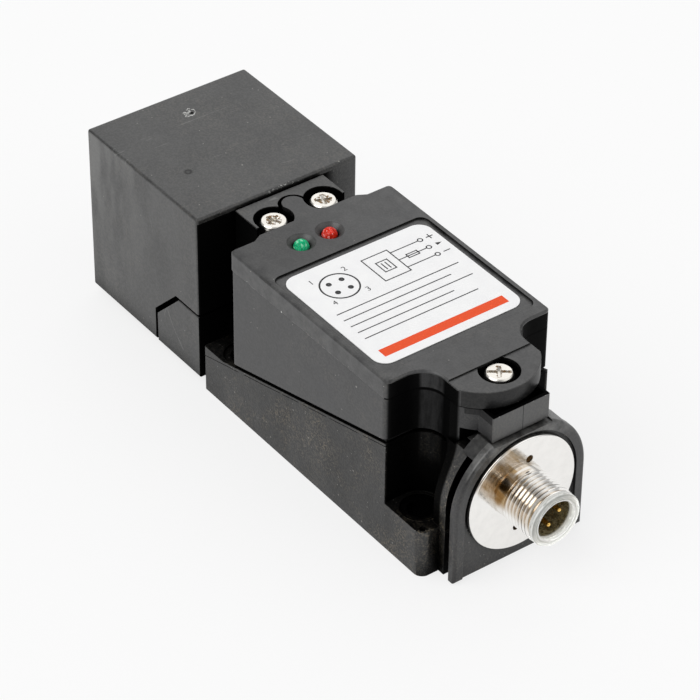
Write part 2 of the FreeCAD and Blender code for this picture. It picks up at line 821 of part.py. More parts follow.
def build_connector():
    """Plug connector: turned shell with its disc, nut, seal, contact carrier, pins and clear end ring."""
    seal = cut("seal_ring",
               bar("seal_disc", "seal_radius", "-seal_face", "-plate_face", "0", "axis_height"),
               bar("seal_bore", "shank_radius + shank_play", "-seal_face - spare", "-plate_face + spare",
                   "0", "axis_height"))
    keep("connector_gasket", seal)

    shell = body("connector_shell")
    profile = sketch(shell, "XZ_Plane", along="axis_height")
    outline(profile, [
        ("-shank_end", "sleeve_bore"),
        ("-shank_end", "shank_radius"),
        ("-seal_face", "shank_radius"),
        ("-seal_face", "disc_radius"),
        ("-disc_face", "disc_radius"),
        ("-disc_face", "neck_radius"),
        ("-thread_start", "neck_radius"),
        ("-thread_start", "thread_radius"),
        ("-shell_end", "thread_radius"),
        ("-shell_end", "sleeve_bore + sleeve_wall + small_play"),
        ("-insert_face", "sleeve_bore + sleeve_wall + small_play"),
        ("-insert_face", "sleeve_bore"),
    ])
    revolve(shell, profile, "H_Axis")
    holes = sketch(shell, "YZ_Plane", "-disc_face - spare")
    for sign in ("-", ""):
        circle(holes, sign + "spanner_circle * sin(spanner_turn)",
               "axis_height - %sspanner_circle * cos(spanner_turn)" % sign, "spanner_radius")
    pocket(shell, holes, "spare + disc_depth + seal_depth / 2", back=True)

    hexagon = doc.addObject("Part::Prism", "nut_hexagon")
    hexagon.Polygon = 6
    hexagon.Placement.Rotation = ABOUT_Y
    bind(hexagon, "Circumradius", "nut_corner_radius")
    bind(hexagon, "Height", "nut_depth")
    bind(hexagon, "Placement.Base.x", "-lip_end")
    bind(hexagon, "Placement.Base.z", "axis_height")
    nut_bore = bar("nut_bore", "shank_radius + small_play",
                   "-lip_end - spare", "-lip_end + nut_depth + spare", "0", "axis_height")
    keep("connector_nut", cut("nut", hexagon, nut_bore))

    carrier = bar("carrier_bar", "sleeve_bore - small_play",
                  "-insert_face", "-insert_end", "0", "axis_height")
    bores = []
    pins = []
    wires = []
    for index, (y, z) in enumerate(pin_places()):
        bores.append(bar("carrier_bore_%d" % index, "pin_radius + small_play",
                         "-insert_face - spare", "-insert_end + spare", y, z))
        pins.append(bar("contact_pin_%d" % index, "pin_radius", "-pin_end", "-pin_start", y, z))
        wires.append(bar("lead_wire_%d" % index, "wire_radius", "-pin_start", "-wire_end", y, z))
    keep("connector_insert", cut("carrier", carrier, group("carrier_bores", bores)))
    keep("contact_pins", group("pin_set", pins))
    keep("lead_wires", group("wire_set", wires))

    sleeve = body("connector_sleeve")
    profile = sketch(sleeve, "XZ_Plane", along="axis_height")
    outline(profile, [
        ("-insert_face", "sleeve_bore"),
        ("-insert_face", "sleeve_bore + sleeve_wall"),
        ("-shell_end", "sleeve_bore + sleeve_wall"),
        ("-shell_end", "sleeve_rim_radius"),
        ("-sleeve_end", "sleeve_rim_radius"),
        ("-sleeve_end", "sleeve_bore"),
    ])
    revolve(sleeve, profile, "H_Axis")
    tip = -number("sleeve_end")
    reach = number("axis_height + sleeve_rim_radius")
    break_edges(sleeve, "sleeve_rim / 3", lambda middle, span: near(span.XMin, tip)
                and near(span.ZMax, reach) and near(span.XLength, 0))


def build_socket():
    """Socket block on the base's floor, its contact sleeves and the threaded inserts."""
    block = box("socket_block", ("-wire_end", "-socket_width / 2", "base_floor"),
                ("-wire_end + socket_length", "socket_width / 2", "socket_top"))
    outer = "plug_radius + plug_play + plug_wall"
    bottom = "socket_top - plug_depth"
    holes = []
    for index, (x, y) in enumerate(plug_places()):
        holes.append(cylinder("socket_hole_%d" % index, outer, bottom, "socket_top + spare", x, y))
    keep("plug_socket", cut("socket", block, group("socket_holes", holes)))
    tubes("socket_contacts", outer, "plug_radius + plug_play", bottom, "socket_top", plug_places())
    tubes("plate_insert", "insert_radius", "screw_bore", "cover_insert_bottom", "rim_height",
          [("-cover_screw_x", "0")])
    tubes("base_inserts", "insert_radius", "screw_bore", "neck_insert_bottom", "flange_height",
          neck_screw_places())
    tubes("head_contacts", "contact_radius + contact_play + contact_wall", "contact_radius + contact_play",
          "flange_height - contact_depth", "flange_height", contact_places())


def module_rear(setback):
    """Rear half of the module's plan on the +Y side: corner, screw well, lug side and round lug end."""
    radius = "lug_radius - %s" % setback
    side = "lug_centre + sqrt((%s) ^ 2 - block_side ^ 2)" % radius
    return [
        ("-well_edge", "module_half"),
        ("-well_edge", "hole_y"),
        ("-hole_x", "block_side", "well_radius", "-hole_x", "hole_y"),
        (minus(side), "block_side"),
        (minus("lug_centre + " + radius), "0", radius, "-lug_centre", "0"),
    ]


def build_module_body():
    """Wedge-shaped tray of the electronics module, with the rear lug and the open-topped hood."""
    tray = body("module_body")
    plan = sketch(tray, "XY_Plane", "seam")
    front_edge = [("module_front", "0"), ("module_front", "module_half")]
    outline(plan, mirrored(front_edge + module_rear("lug_setback")))
    pad(tray, plan, "seam - flange_height", back=True)

    under = sketch(tray, "XZ_Plane")
    outline(under, [
        ("slope_start + spare", "0"),
        ("slope_start + spare", "flange_height + parting_gap"),
        ("slope_start", "flange_height + parting_gap"),
        ("-well_edge", "module_rim"),
        (minus("lug_side"), "module_rim"),
        (minus("lug_side"), "lug_shoulder"),
        ("-hood_face - spare", "lug_shoulder"),
        ("-hood_face - spare", "0"),
    ])
    pocket(tray, under, "base_width + spare", both=True)
    front = number("module_front")
    rear = -number("well_edge")
    wide = number("module_half")
    round_edges(tray, "module_corner", lambda middle, span: upright(span) and near(abs(middle.y), wide)
                and (near(middle.x, front) or near(middle.x, rear)))

    hood = sketch(tray, "XY_Plane", "hood_bottom")
    rectangle(hood, "-hood_face", "-hood_half", "-lug_centre - lug_radius / 2", "hood_half")
    pad(tray, hood, "seam - small_play - hood_bottom")
    mouth = sketch(tray, "XY_Plane", "hood_bottom + hood_floor")
    inside = "hood_half - hood_wall"
    wall = "lug_radius - lug_setback"
    start = "lug_centre + sqrt((%s) ^ 2 - (%s) ^ 2)" % (wall, inside)
    outline(mouth, mirrored([
        (minus("lug_centre + " + wall), "0"),
        (minus(start), inside, wall, "-lug_centre", "0"),
        ("-hood_inside", inside),
        ("-hood_inside", "0"),
    ]))
    pocket(tray, mouth, "seam", back=True)

    hollow = sketch(tray, "XZ_Plane")
    low = "module_front - module_wall"
    far = "-well_edge + module_wall"
    raised = " + parting_gap + module_floor"
    outline(hollow, [
        (low, "seam + spare"),
        (far, "seam + spare"),
        (far, rim_at(far) + raised),
        (low, rim_at(low) + raised),
    ])
    pocket(tray, hollow, "base_width - 2 * module_wall", both=True)
    pocket(tray, circles(tray, plug_places(), "plug_radius + small_play", "0"), "seam", back=True)
    pocket(tray, circles(tray, [("-cover_screw_x", "0")], "screw_bore", "0"), "lid_top", back=True)


def build_module_lid():
    """Top cap: tongue between the neck screws, label recess, lamp dishes, lug with its screw pocket."""
    lid = body("module_lid")
    root = "neck_screw_y - sqrt(pocket_radius ^ 2 - (neck_screw_x - brow_front) ^ 2)"
    plan = sketch(lid, "XY_Plane", "seam")
    outline(plan, mirrored([
        ("tongue_centre + tongue_radius", "0"),
        ("tongue_centre", "tongue_radius", "tongue_radius", "tongue_centre", "0"),
        ("brow_front", root, "pocket_radius", "neck_screw_x", "neck_screw_y"),
        ("brow_front", "brow_half"),
        ("lid_front", "brow_half + brow_blend"),
        ("lid_front", "module_half"),
    ] + module_rear("0")))
    pad(lid, plan, "lid_depth")
    front = number("lid_front")
    rear = -number("well_edge")
    wide = number("module_half")
    top = number("lid_top")
    round_edges(lid, "module_corner", lambda middle, span: upright(span) and near(abs(middle.y), wide)
                and (near(middle.x, front) or near(middle.x, rear)))
    break_edges(lid, "lid_edge", lambda middle, span: near(span.ZMin, top) and middle.x < front + 1e-4)

    step = sketch(lid, "XY_Plane", "lid_top - lug_step")
    pocket_front = "cover_screw_x - pocket_radius / sqrt(2)"
    rectangle(step, "-hood_face - spare", "-hole_y", minus(pocket_front), "hole_y")
    pocket(lid, step, "lid_depth", back=True)

    recess = sketch(lid, "XY_Plane", "lid_top - recess_depth")
    rectangle(recess, "-recess_rear", "-recess_half", "recess_front", "recess_half")
    pocket(lid, recess, "lid_depth", back=True)
    rim = number("recess_half")
    round_edges(lid, "recess_corner", lambda middle, span: upright(span) and near(abs(middle.y), rim))

    lamps = [("lamp_x", "green_offset"), ("lamp_x", "red_offset")]
    pocket(lid, circles(lid, lamps, "lamp_radius + lamp_play", "0"), "lid_top + spare", back=True)
    for x, y in lamps:
        dish = lid.newObject("PartDesign::SubtractiveCone", "lamp_dish")
        dish.AttachmentSupport = (next(f for f in lid.Origin.OriginFeatures if f.Role == "XY_Plane"), "")
        dish.MapMode = "FlatFace"
        bind(dish, "AttachmentOffset.Base.x", x)
        bind(dish, "AttachmentOffset.Base.y", y)
        bind(dish, "AttachmentOffset.Base.z", "lid_top - dish_depth")
        bind(dish, "Radius1", "lamp_radius + lamp_play")
        bind(dish, "Radius2", "dish_radius")
        bind(dish, "Height", "dish_depth")
        doc.recompute()

    half = "pocket_radius / sqrt(2)"
    middle_x = "-cover_screw_x"
    pit = sketch(lid, "XY_Plane", "screw_seat")
    outline(pit, mirrored([
        (minus(pocket_front), "0"),
        (minus(pocket_front), half),
        (middle_x, "pocket_radius", "pocket_radius", middle_x, "0"),
        (middle_x + " - pocket_radius", "0", "pocket_radius", middle_x, "0"),
    ]))
    pocket(lid, pit, "lid_depth", back=True)
    pocket(lid, circles(lid, [(middle_x, "0")], "screw_bore", "0"), "lid_top", back=True)


def build_module_contents():
    """Resin, circuit board with its parts, plug pins, lamps and the label."""
    front = "module_front - module_wall - small_play"
    rear = "-well_edge + module_wall + small_play"
    raised = " + parting_gap + module_floor + small_play"
    resin = body("module_potting")
    block = sketch(resin, "XZ_Plane")
    outline(block, [
        (front, "board_bottom"),
        (rear, "board_bottom"),
        (rear, rim_at(rear) + raised),
        (front, rim_at(front) + raised),
    ])
    pad(resin, block, "base_width - 2 * module_wall - 2 * small_play", both=True)
    pocket(resin, circles(resin, plug_places(), "plug_radius + small_play", "0"), "board_top", back=True)

    edge = "base_half - module_wall - board_inset"
    sheet_block = box("board_sheet",
                      ("-well_edge + module_wall + board_inset", minus(edge), "board_bottom"),
                      ("module_front - module_wall - board_inset", edge, "board_top"))
    holes = []
    pins = []
    for index, (x, y) in enumerate(plug_places()):
        holes.append(cylinder("board_hole_%d" % index, "plug_radius + small_play", "board_bottom - spare",
                              "board_top + spare", x, y))
        pins.append(cylinder("plug_pin_%d" % index, "plug_radius", "socket_top - plug_depth + spare",
                             "board_top + plug_radius", x, y))
    keep("circuit_board", cut("board", sheet_block, group("board_holes", holes)))
    keep("plug_pins", group("plug_pin_set", pins))

    # First corner, opposite corner and height of each part on the board, counted in chip pitches
    parts = {
        "controller": (1.5, -8.5, 8.5, -3.5, 1.4),
        "output_transistor": (-6.25, 5, 0.25, 11, 2.3),
        "regulator": (9.75, 6, 14.25, 10, 1.6),
        "surge_diode": (-17.3, 8.7, -12.7, 11.3, 2.1),
        "filter_capacitor": (10.4, -13.25, 13.6, -10.75, 1.8),
        "oscillator_coil": (-6, -13, -2, -9, 2.4),
    }
    blocks = []
    for name, counts in parts.items():
        x, y, far_x, far_y, height = ["%s * chip_pitch" % count for count in counts]
        blocks.append(box(name, (x, y, "board_top"), (far_x, far_y, "board_top + " + height)))
    keep("board_components", group("component_set", blocks))

    for colour in ("green", "red"):
        lamp = body("led_" + colour)
        profile = sketch(lamp, "XZ_Plane", minus(colour + "_offset"), across="lamp_x")
        outline(profile, [
            ("0", "board_top"),
            ("lamp_radius + lamp_play * 2", "board_top"),
            ("lamp_radius + lamp_play * 2", "board_top + lamp_radius"),
            ("lamp_radius", "board_top + lamp_radius"),
            ("lamp_radius", "lamp_top - lamp_radius"),
            ("0", "lamp_top", "lamp_radius", "0", "lamp_top - lamp_radius"),
        ])
        revolve(lamp, profile, "V_Axis")

    label = body("label")
    paper = sketch(label, "XY_Plane", "lid_top - recess_depth")
    rectangle(paper, "-label_rear", "-label_half", "label_front", "label_half")
    pad(label, paper, "label_depth")
    round_edges(label, "label_corner", lambda middle, span: upright(span))


def screw(name, x, y, tip):
    """Pan head screw standing on its seat."""
    made = doc.addObject("PartDesign::Body", name)
    made.Label = name
    profile = sketch(made, "XZ_Plane", minus(y), across=x)
    outline(profile, [
        ("0", tip),
        ("screw_radius", tip),
        ("screw_radius", "screw_seat"),
        ("screw_head_radius", "screw_seat"),
        ("screw_head_radius", "screw_seat + screw_head_height / 2"),
        ("screw_crown_radius", "screw_top"),
        ("0", "screw_top"),
    ])
    revolve(made, profile, "V_Axis")
    return made


def build_screws():
    """The cover screw, the two neck screws and the two screws under the foot."""
    keep("cover_screw", screw("cover_screw", "-cover_screw_x", "0", "cover_insert_bottom + screw_play"))
    neck = []
    for index, (x, y) in enumerate(neck_screw_places()):
        neck.append(screw("neck_screw_%d" % index, x, y, "neck_insert_bottom + screw_play"))
    keep("neck_screws", group("neck_screw_set", neck))
    foot = []
    for index, y in enumerate(("foot_screw_y", "-foot_screw_y")):
        made = doc.addObject("PartDesign::Body", "foot_screw_%d" % index)
        profile = sketch(made, "XZ_Plane", minus(y), across="foot_screw_x")
        outline(profile, [
            ("0", "head_lift + small_play"),
            ("foot_screw_head - small_play", "head_lift + small_play"),
            ("foot_screw_radius", "head_lift + foot_screw_sink"),
            ("foot_screw_radius", "notch_top + foot_screw_bite"),
            ("0", "notch_top + foot_screw_bite"),
        ])
        revolve(made, profile, "V_Axis")
        foot.append(made)
    keep("foot_screws", group("foot_screw_set", foot))


def build_head_shell():
    """Sensing cube with the chamfered notch for the bracket's foot and the chamber for the coil."""
    shell = body("head_shell")
    side = sketch(shell, "XZ_Plane")
    outline(side, [
        ("notch_front", "head_lift"),
        ("head_front", "head_lift"),
        ("head_front", "head_top"),
        ("head_rear", "head_top"),
        ("head_rear", "notch_top"),
        ("notch_front - notch_chamfer", "notch_top"),
        ("notch_front", "notch_top - notch_chamfer"),
    ])
    pad(shell, side, "head_width", both=True)
    low = number("head_lift")
    high = number("head_top")
    rear = number("head_rear")
    front = number("head_front")
    wide = number("head_half")

    def outer(middle, span):
        sides = [near(abs(middle.y), wide), near(middle.x, front), near(middle.x, rear) and middle.z > low,
                 near(middle.z, high), near(middle.z, low)]
        return sum(sides) == 2

    round_edges(shell, "head_edge", outer)
    chamber = sketch(shell, "XZ_Plane")
    rectangle(chamber, "chamber_rear", "chamber_bottom", "chamber_front", "chamber_top")
    pocket(shell, chamber, "2 * chamber_half", both=True)
    filler = sketch(shell, "XZ_Plane")
    rectangle(filler, "notch_front - spare", "chamber_bottom",
              "chamber_rear + spare", "chamber_bottom + fill_height")
    pocket(shell, filler, "fill_width", both=True)
    places = [("foot_screw_x", "foot_screw_y"), ("foot_screw_x", "-foot_screw_y")]
    bores = circles(shell, places, "foot_screw_radius + small_play", "0")
    pocket(shell, bores, "notch_top + foot_screw_bite + small_play", back=True)


def build_bracket():
    """Bracket: chamfered foot in the head's notch, neck column with screw pockets and tongue slot."""
    bracket = body("head_bracket")
    foot = sketch(bracket, "XZ_Plane")
    outline(foot, [
        ("head_rear", "head_lift"),
        ("foot_front", "head_lift"),
        ("foot_front", "foot_top - foot_chamfer"),
        ("foot_front - foot_chamfer", "foot_top"),
        ("head_rear", "foot_top"),
    ])
    pad(bracket, foot, "head_width", both=True)
    wide = number("head_half")
    round_edges(bracket, "foot_edge", lambda middle, span: near(abs(middle.y), wide))

    column = sketch(bracket, "XY_Plane", "neck_bottom")
    rectangle(column, "neck_rear", "-neck_half", "neck_front", "neck_half")
    pad(bracket, column, "neck_top - neck_bottom")
    side = number("neck_half")
    rear = number("neck_rear")
    round_edges(bracket, "neck_edge",
                lambda middle, span: upright(span) and near(abs(middle.y), side) and near(middle.x, rear))
    knee = sketch(bracket, "XZ_Plane")
    rectangle(knee, "neck_front - spare", "neck_bottom", "head_rear + spare", "foot_top")
    pad(bracket, knee, "2 * neck_half", both=True)

    pits = sketch(bracket, "XY_Plane", "screw_seat")
    inner = "neck_screw_y - pocket_radius"
    outer = "neck_screw_y + pocket_radius"
    mouth = "neck_screw_x - pocket_wrap"
    both_sides(pits, [
        ("neck_rear - spare", inner),
        ("neck_screw_x", inner),
        ("neck_screw_x + pocket_radius", "neck_screw_y", "pocket_radius", "neck_screw_x", "neck_screw_y"),
        ("neck_screw_x", outer, "pocket_radius", "neck_screw_x", "neck_screw_y"),
        (mouth, outer),
        (mouth, "neck_half + spare"),
        ("neck_rear - spare", "neck_half + spare"),
    ])
    pocket(bracket, pits, "neck_top", back=True)
    slot = sketch(bracket, "XY_Plane", "neck_bottom - spare / 2")
    outline(slot, mirrored([
        ("neck_rear - spare", "0"),
        ("neck_rear - spare", "tongue_slot + slot_flare"),
        ("neck_rear", "tongue_slot + slot_flare"),
        ("neck_rear + slot_flare_length", "tongue_slot"),
        ("tongue_centre", "tongue_slot"),
        ("tongue_centre + tongue_slot", "0", "tongue_slot", "tongue_centre", "0"),
    ]))
    pocket(bracket, slot, "neck_top", back=True)
    bores = circles(bracket, neck_screw_places(), "screw_bore", "neck_bottom - spare / 2")
    pocket(bracket, bores, "neck_top", back=True)
    pins = circles(bracket, contact_places(), "contact_radius + small_play", "neck_bottom - spare / 2")
    pocket(bracket, pins, "contact_depth + spare / 2", back=True)

    for y in ("foot_screw_y", "-foot_screw_y"):
        groove = sketch(bracket, "XZ_Plane", minus(y), across="foot_screw_x")
        outline(groove, [
            ("0", "head_lift"),
            ("foot_screw_head", "head_lift"),
            ("foot_screw_radius + small_play", "head_lift + foot_screw_sink"),
            ("foot_screw_radius + small_play", "foot_top + spare"),
            ("0", "foot_top + spare"),
        ])
        before = bracket.Tip.Shape.Volume
        turned = bracket.newObject("PartDesign::Groove", "foot_screw_bore")
        turned.Profile = groove
        turned.ReferenceAxis = (groove, ["V_Axis"])
        turned.Angle = 360
        doc.recompute()
        if turned.Shape.Volume >= before:
            raise RuntimeError("the screw bore cuts nothing")

    members = []
    for index, (x, y) in enumerate(contact_places()):
        members.append(cylinder("head_pin_%d" % index, "contact_radius",
                                "flange_height - contact_depth + small_play",
                                "neck_bottom + contact_depth", x, y))
    keep("head_pins", group("head_pin_set", members))


def ring_body(label, profile_corners):
    """A piece turned about the head's sensing axis."""
    made = body(label)
    profile = sketch(made, "XZ_Plane", along="head_middle")
    outline(profile, profile_corners)
    revolve(made, profile, "H_Axis")


def build_coil():
    """Pot core, bobbin and winding behind the sensing face, the oscillator board and the resin round them."""
    ring_body("ferrite_core", [
        ("core_rear", "0"),
        ("core_rear", "core_radius"),
        ("chamber_front", "core_radius"),
        ("chamber_front", "core_groove_radius"),
        ("core_floor", "core_groove_radius"),
        ("core_floor", "core_post"),
        ("chamber_front", "core_post"),
        ("chamber_front", "0"),
    ])
    back = "core_floor + coil_play"
    front = "chamber_front - coil_play"
    inner = "core_post + coil_play"
    outer = "core_groove_radius - coil_play"
    ring_body("coil_bobbin", [
        (back, inner),
        (back, outer),
        (back + " + bobbin_wall", outer),
        (back + " + bobbin_wall", inner + " + bobbin_wall"),
        (front + " - bobbin_wall", inner + " + bobbin_wall"),
        (front + " - bobbin_wall", outer),
        (front, outer),
        (front, inner),
    ])
    ring_body("coil_winding", [
        (back + " + bobbin_wall", inner + " + bobbin_wall"),
        (back + " + bobbin_wall", outer + " - bobbin_wall"),
        (front + " - bobbin_wall", outer + " - bobbin_wall"),
        (front + " - bobbin_wall", inner + " + bobbin_wall"),
    ])
    low = ("head_board_front - head_board_depth", "-head_board_half", "head_middle - head_board_half")
    high = ("head_board_front", "head_board_half", "head_middle + head_board_half")
    board = keep("head_board", box("head_board", low, high))

    chamber = box("resin_chamber",
                  ("chamber_rear", "-chamber_half", "chamber_bottom"),
                  ("chamber_front", "chamber_half", "chamber_top"))
    plug = box("resin_plug",
               ("notch_front + small_play", "-fill_width / 2", "chamber_bottom"),
               ("chamber_rear + small_play", "fill_width / 2", "chamber_bottom + fill_height"))
    filled = doc.addObject("Part::Fuse", "resin_block")
    filled.Base = chamber
    filled.Tool = plug
    coil = bar("core_space", "core_radius", "core_rear", "chamber_front + spare", "0", "head_middle")
    keep("head_potting", cut("resin", cut("resin_core", filled, coil), board))


def check_and_write():
    """Stop on any failed object, then write one file for each piece."""
    doc.recompute()
    for made in doc.Objects:
        if "Invalid" in made.State or "Error" in made.State:
            raise RuntimeError("%s is not right: %s" % (made.Name, made.State))
    os.makedirs("parts", exist_ok=True)
    for label, made in pieces.items():
        if made.Shape.isNull() or not made.Shape.isValid() or made.Shape.Volume <= 0:
            raise RuntimeError(label + " has no sound shape")
    for label, made in pieces.items():
        made.Shape.exportStep("parts/%s.step" % label)
        print("%-18s %2d solids %10.2f mm3" % (label, len(made.Shape.Solids), made.Shape.Volume))


build_base()
build_base_gasket()
build_connector_plate()
build_connector()
build_socket()
build_module_body()
build_module_lid()
build_module_contents()
build_screws()
build_head_shell()
build_bracket()
build_coil()
check_and_write()
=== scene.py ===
import json
import math

import bmesh
import bpy
from bpy.props import FloatProperty, FloatVectorProperty, IntProperty, PointerProperty
from mathutils import Matrix, Vector


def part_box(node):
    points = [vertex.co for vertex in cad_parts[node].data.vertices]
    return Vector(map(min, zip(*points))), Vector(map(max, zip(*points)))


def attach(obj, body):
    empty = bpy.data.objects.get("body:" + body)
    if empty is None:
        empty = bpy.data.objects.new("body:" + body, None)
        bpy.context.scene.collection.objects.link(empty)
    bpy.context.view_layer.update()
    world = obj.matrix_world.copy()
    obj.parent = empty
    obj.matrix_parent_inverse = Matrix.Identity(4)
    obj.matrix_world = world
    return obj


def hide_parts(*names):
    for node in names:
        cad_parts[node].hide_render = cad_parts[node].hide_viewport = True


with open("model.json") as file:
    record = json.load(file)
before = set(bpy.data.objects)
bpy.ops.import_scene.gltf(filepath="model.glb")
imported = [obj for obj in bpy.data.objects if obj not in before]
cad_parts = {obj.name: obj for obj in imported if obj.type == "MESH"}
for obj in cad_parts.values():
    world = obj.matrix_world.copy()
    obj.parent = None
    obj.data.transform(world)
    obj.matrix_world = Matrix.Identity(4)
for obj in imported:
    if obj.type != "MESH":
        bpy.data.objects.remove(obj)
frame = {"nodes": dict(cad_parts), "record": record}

bl_info = {
    "name": "Proximity Sensor Looks",
    "version": (1, 0, 0),
    "blender": (4, 5, 0),
    "location": "3D View > Sidebar > Sensor",
    "description": "Finishes, plug connector, screws, lamps and label of a square-headed proximity sensor",
    "category": "Object",
}

MM = 0.001
FULL_TURN = 2 * math.pi
# Rounding of turned edges, and facets round small turned pieces
EDGE_ROUND = 0.12 * MM
PIN_STEPS = 24
LENS_STEPS = 40
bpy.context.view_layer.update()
MOUNTS = {mount["name"]: mount for mount in frame["record"]["mounts"]}
THREAD = MOUNTS["connector_thread"]
HOLES = MOUNTS["mounting_holes"]["dims"]


def limits(node):
    """A CAD node's lowest and highest corner, in millimetres."""
    return [Vector(corner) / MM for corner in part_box(node)]


# Places for the finishes, in millimetres
AXIS_HEIGHT = THREAD["pos_m"][2] / MM
HEAD_TOP = limits("head_shell")[1].z
GATE = Vector((71.6, -0.8, HEAD_TOP))
EJECTOR = Vector((53.9, 11.7, HEAD_TOP))
FLANK = 19.9
RIM = 19.0

# Colours of dust, wear, tarnished metal and grime; the pale marks and the tan band also carry painted light
# and painted reflection
DUST = (0.26, 0.215, 0.15)
SCUFF = (0.26, 0.26, 0.25)
SPECK = (0.42, 0.41, 0.38)
PALE_MARK_AND_LIGHT = (0.55, 0.55, 0.53)
TAN = (0.47, 0.335, 0.18)
FRECKLE = (0.12, 0.09, 0.06)
DARK_GRIME, LIGHT_GRIME = (0.035, 0.020, 0.010), (0.22, 0.125, 0.045)


def number(label, words, default, **more):
    """A property that holds a number."""
    return FloatProperty(name=label, description=words, default=default, **more)


def length(label, words, default):
    """A property that holds a length, from millimetres."""
    return number(label, words, default * MM, unit="LENGTH", precision=5)


def angle(label, words, default):
    """A property that holds an angle, from degrees."""
    return number(label, words, math.radians(default), subtype="ANGLE")


def share(label, words, default):
    """A property that holds a share from 0 to 1."""
    return number(label, words, default, min=0, max=1, subtype="FACTOR")


def vector(label, words, default, subtype="DIRECTION", **more):
    """A property that holds a direction, or another vector."""
    return FloatVectorProperty(name=label, description=words, default=default, size=3, subtype=subtype,
                               **more)


def colour(label, words, default):
    """A property that holds a colour."""
    return vector(label, words, default, "COLOR", min=0, max=1)


def count(label, words, default, least):
    """A property that holds a whole number."""
    return IntProperty(name=label, description=words, default=default, min=least)


class FinishSettings(bpy.types.PropertyGroup):
    """Colours and textures of the mouldings and metals."""

    head_colour: colour("Head", "Plastic of the sensing head and its bracket", (0.030, 0.030, 0.0295))
    module_colour: colour("Module", "Plastic of the electronics module", (0.019, 0.019, 0.020))
    base_colour: colour("Base", "Plastic of the base", (0.008, 0.008, 0.0078))
    plate_colour: colour("End plate", "Plastic of the connector's end plate", (0.018, 0.018, 0.0185))
    grain: length("Grain", "Size of the eroded grain on the head and the module", 0.45)
    base_grain: length("Base grain", "Size of the coarse grain on the base", 0.42)
    contrast: share("Contrast", "How much lighter and darker the grain is than the plastic's own colour", 1.0)
    cloud: length("Cloud", "Size of the cloudy tone on the mouldings", 7.0)
    edge: length("Edge", "Radius over which a moulded edge catches the light", 0.13)
    # Reach of the painted shade: gaps and hollows within it are painted dark
    hollow: length("Hollow", "Depth of the gaps and hollows that are dark with oil and dirt", 12.0)
    rim_place: length("Rim place", "Where along X the base's slanted rim is highest", -25.1)
    rim_height: length("Rim height", "Height of the base's rim at that place", 26.0)
    rim_fall: number("Rim fall", "How far the rim falls in one unit along X", 0.2694)
    lip: length("Lip", "How far under the rim the base's lip ends", 0.6)
    dust: share("Dust", "How much of a moulding carries dust specks", 0.10)
    nickel_colour: colour("Nickel", "Plating of the connector", (0.90, 0.885, 0.86))
    steel_colour: colour("Screws", "Zinc plating of the screws", (0.73, 0.705, 0.655))
    gold_colour: colour("Contacts", "Gold plating of the contacts", (0.95, 0.60, 0.17))
    brass_colour: colour("Inserts", "Brass of the threaded inserts", (0.72, 0.55, 0.26))


class ConnectorSettings(bpy.types.PropertyGroup):
    """Sizes of the plug connector that its CAD boxes do not give."""

    pitch: length("Thread pitch", "Advance of the plug thread in one turn", 1.0)
    thread_depth: length("Thread depth", "Height of the thread's flanks", 0.5)
    thread_lead: length("Thread lead", "How far the thread runs out towards the disc", 1.3)
    disc_depth: length("Disc", "Thickness of the nickel disc", 0.8)
    disc_round: length("Disc rim", "Rounding of the disc's rim", 0.35)
    neck_radius: length("Neck", "Radius of the smooth neck between disc and thread", 5.85)
    bore: length("Bore", "Radius inside the threaded barrel", 4.65)
    tail_bore: length("Tail bore", "Radius inside the rear shank", 4.05)
    tail_radius: length("Tail", "Radius of the rear shank", 5.2)
    ring_radius: length("Ring", "Radius of the clear end ring", 5.9)
    ring_bore: length("Ring bore", "Radius inside the clear end ring", 4.35)
    ring_wall: length("Ring wall", "Thickness of the ring's lining in the barrel", 0.25)
    ring_round: length("Ring edge", "Rounding of the ring's free edge", 0.4)
    pin_radius: length("Pin", "Radius of a contact pin", 0.5)
    spanner_radius: length("Spanner hole", "Radius of the disc's spanner holes", 0.85)
    spanner_circle: length("Spanner circle", "Distance of the spanner holes from the axis", 8.0)
    spanner_turn: angle("Spanner turn", "How far the spanner holes are turned from upright", 9)
    steps: count("Steps", "Facets round the connector", 72, 24)


class ScrewSettings(bpy.types.PropertyGroup):
    """Sizes of the screws."""

    head_radius: length("Head", "Radius of a pan head", 2.9)
    head_height: length("Head height", "Height of a pan head", 2.0)
    crown: length("Crown", "Radius of the flat top of a pan head", 2.5)
    shank: length("Shank", "Radius of a screw's shank", 1.5)
    pitch: length("Pitch", "Advance of the screw thread in one turn", 0.5)
    thread_depth: length("Thread depth", "Height of the screw thread's flanks", 0.25)
    thread_run: length("Thread run", "Length of the thread above a screw's tip", 9.0)
    arm: length("Cross arm", "Reach of the cross recess from the screw's axis", 1.75)
    arm_half: length("Cross width", "Half the width of the cross recess", 0.36)
    recess: length("Recess", "Depth of the cross recess", 0.75)
    slot_half: length("Slot width", "Half the width of the cover screw's long slot", 0.36)
    neck_turn: angle("Neck turn", "How far the first neck screw is turned", 22)
    other_turn: angle("Other turn", "How far the second neck screw is turned", 68)
    cover_turn: angle("Cover turn", "How far the cover screw is turned", 54)
    steps: count("Steps", "Facets round a screw", 40, 16)


class LampSettings(bpy.types.PropertyGroup):
    """The two indicator lamps."""

    dome: length("Dome", "Height of a lens's dome above its cylinder", 1.45)
    green: colour("Green lens", "Colour of the green lens", (0.008, 0.50, 0.21))
    red: colour("Red lens", "Colour of the red lens", (0.74, 0.028, 0.010))


class LabelSettings(bpy.types.PropertyGroup):
    """The label's film and print."""

    film: length("Film", "Thickness of the label film", 0.15)
    corner: length("Corner", "Radius of the label's corners", 3.0)
    ink: length("Ink", "Thickness of the printed ink", 0.015)
    line: length("Line", "Width of a printed line", 0.26)
    figure: length("Figures", "Height of the pin numbers", 2.0)
    ink_colour: colour("Black ink", "Colour of the lines and figures", (0.03, 0.03, 0.032))
    stripe_colour: colour("Stripe", "Colour of the plain stripe", (0.78, 0.075, 0.012))


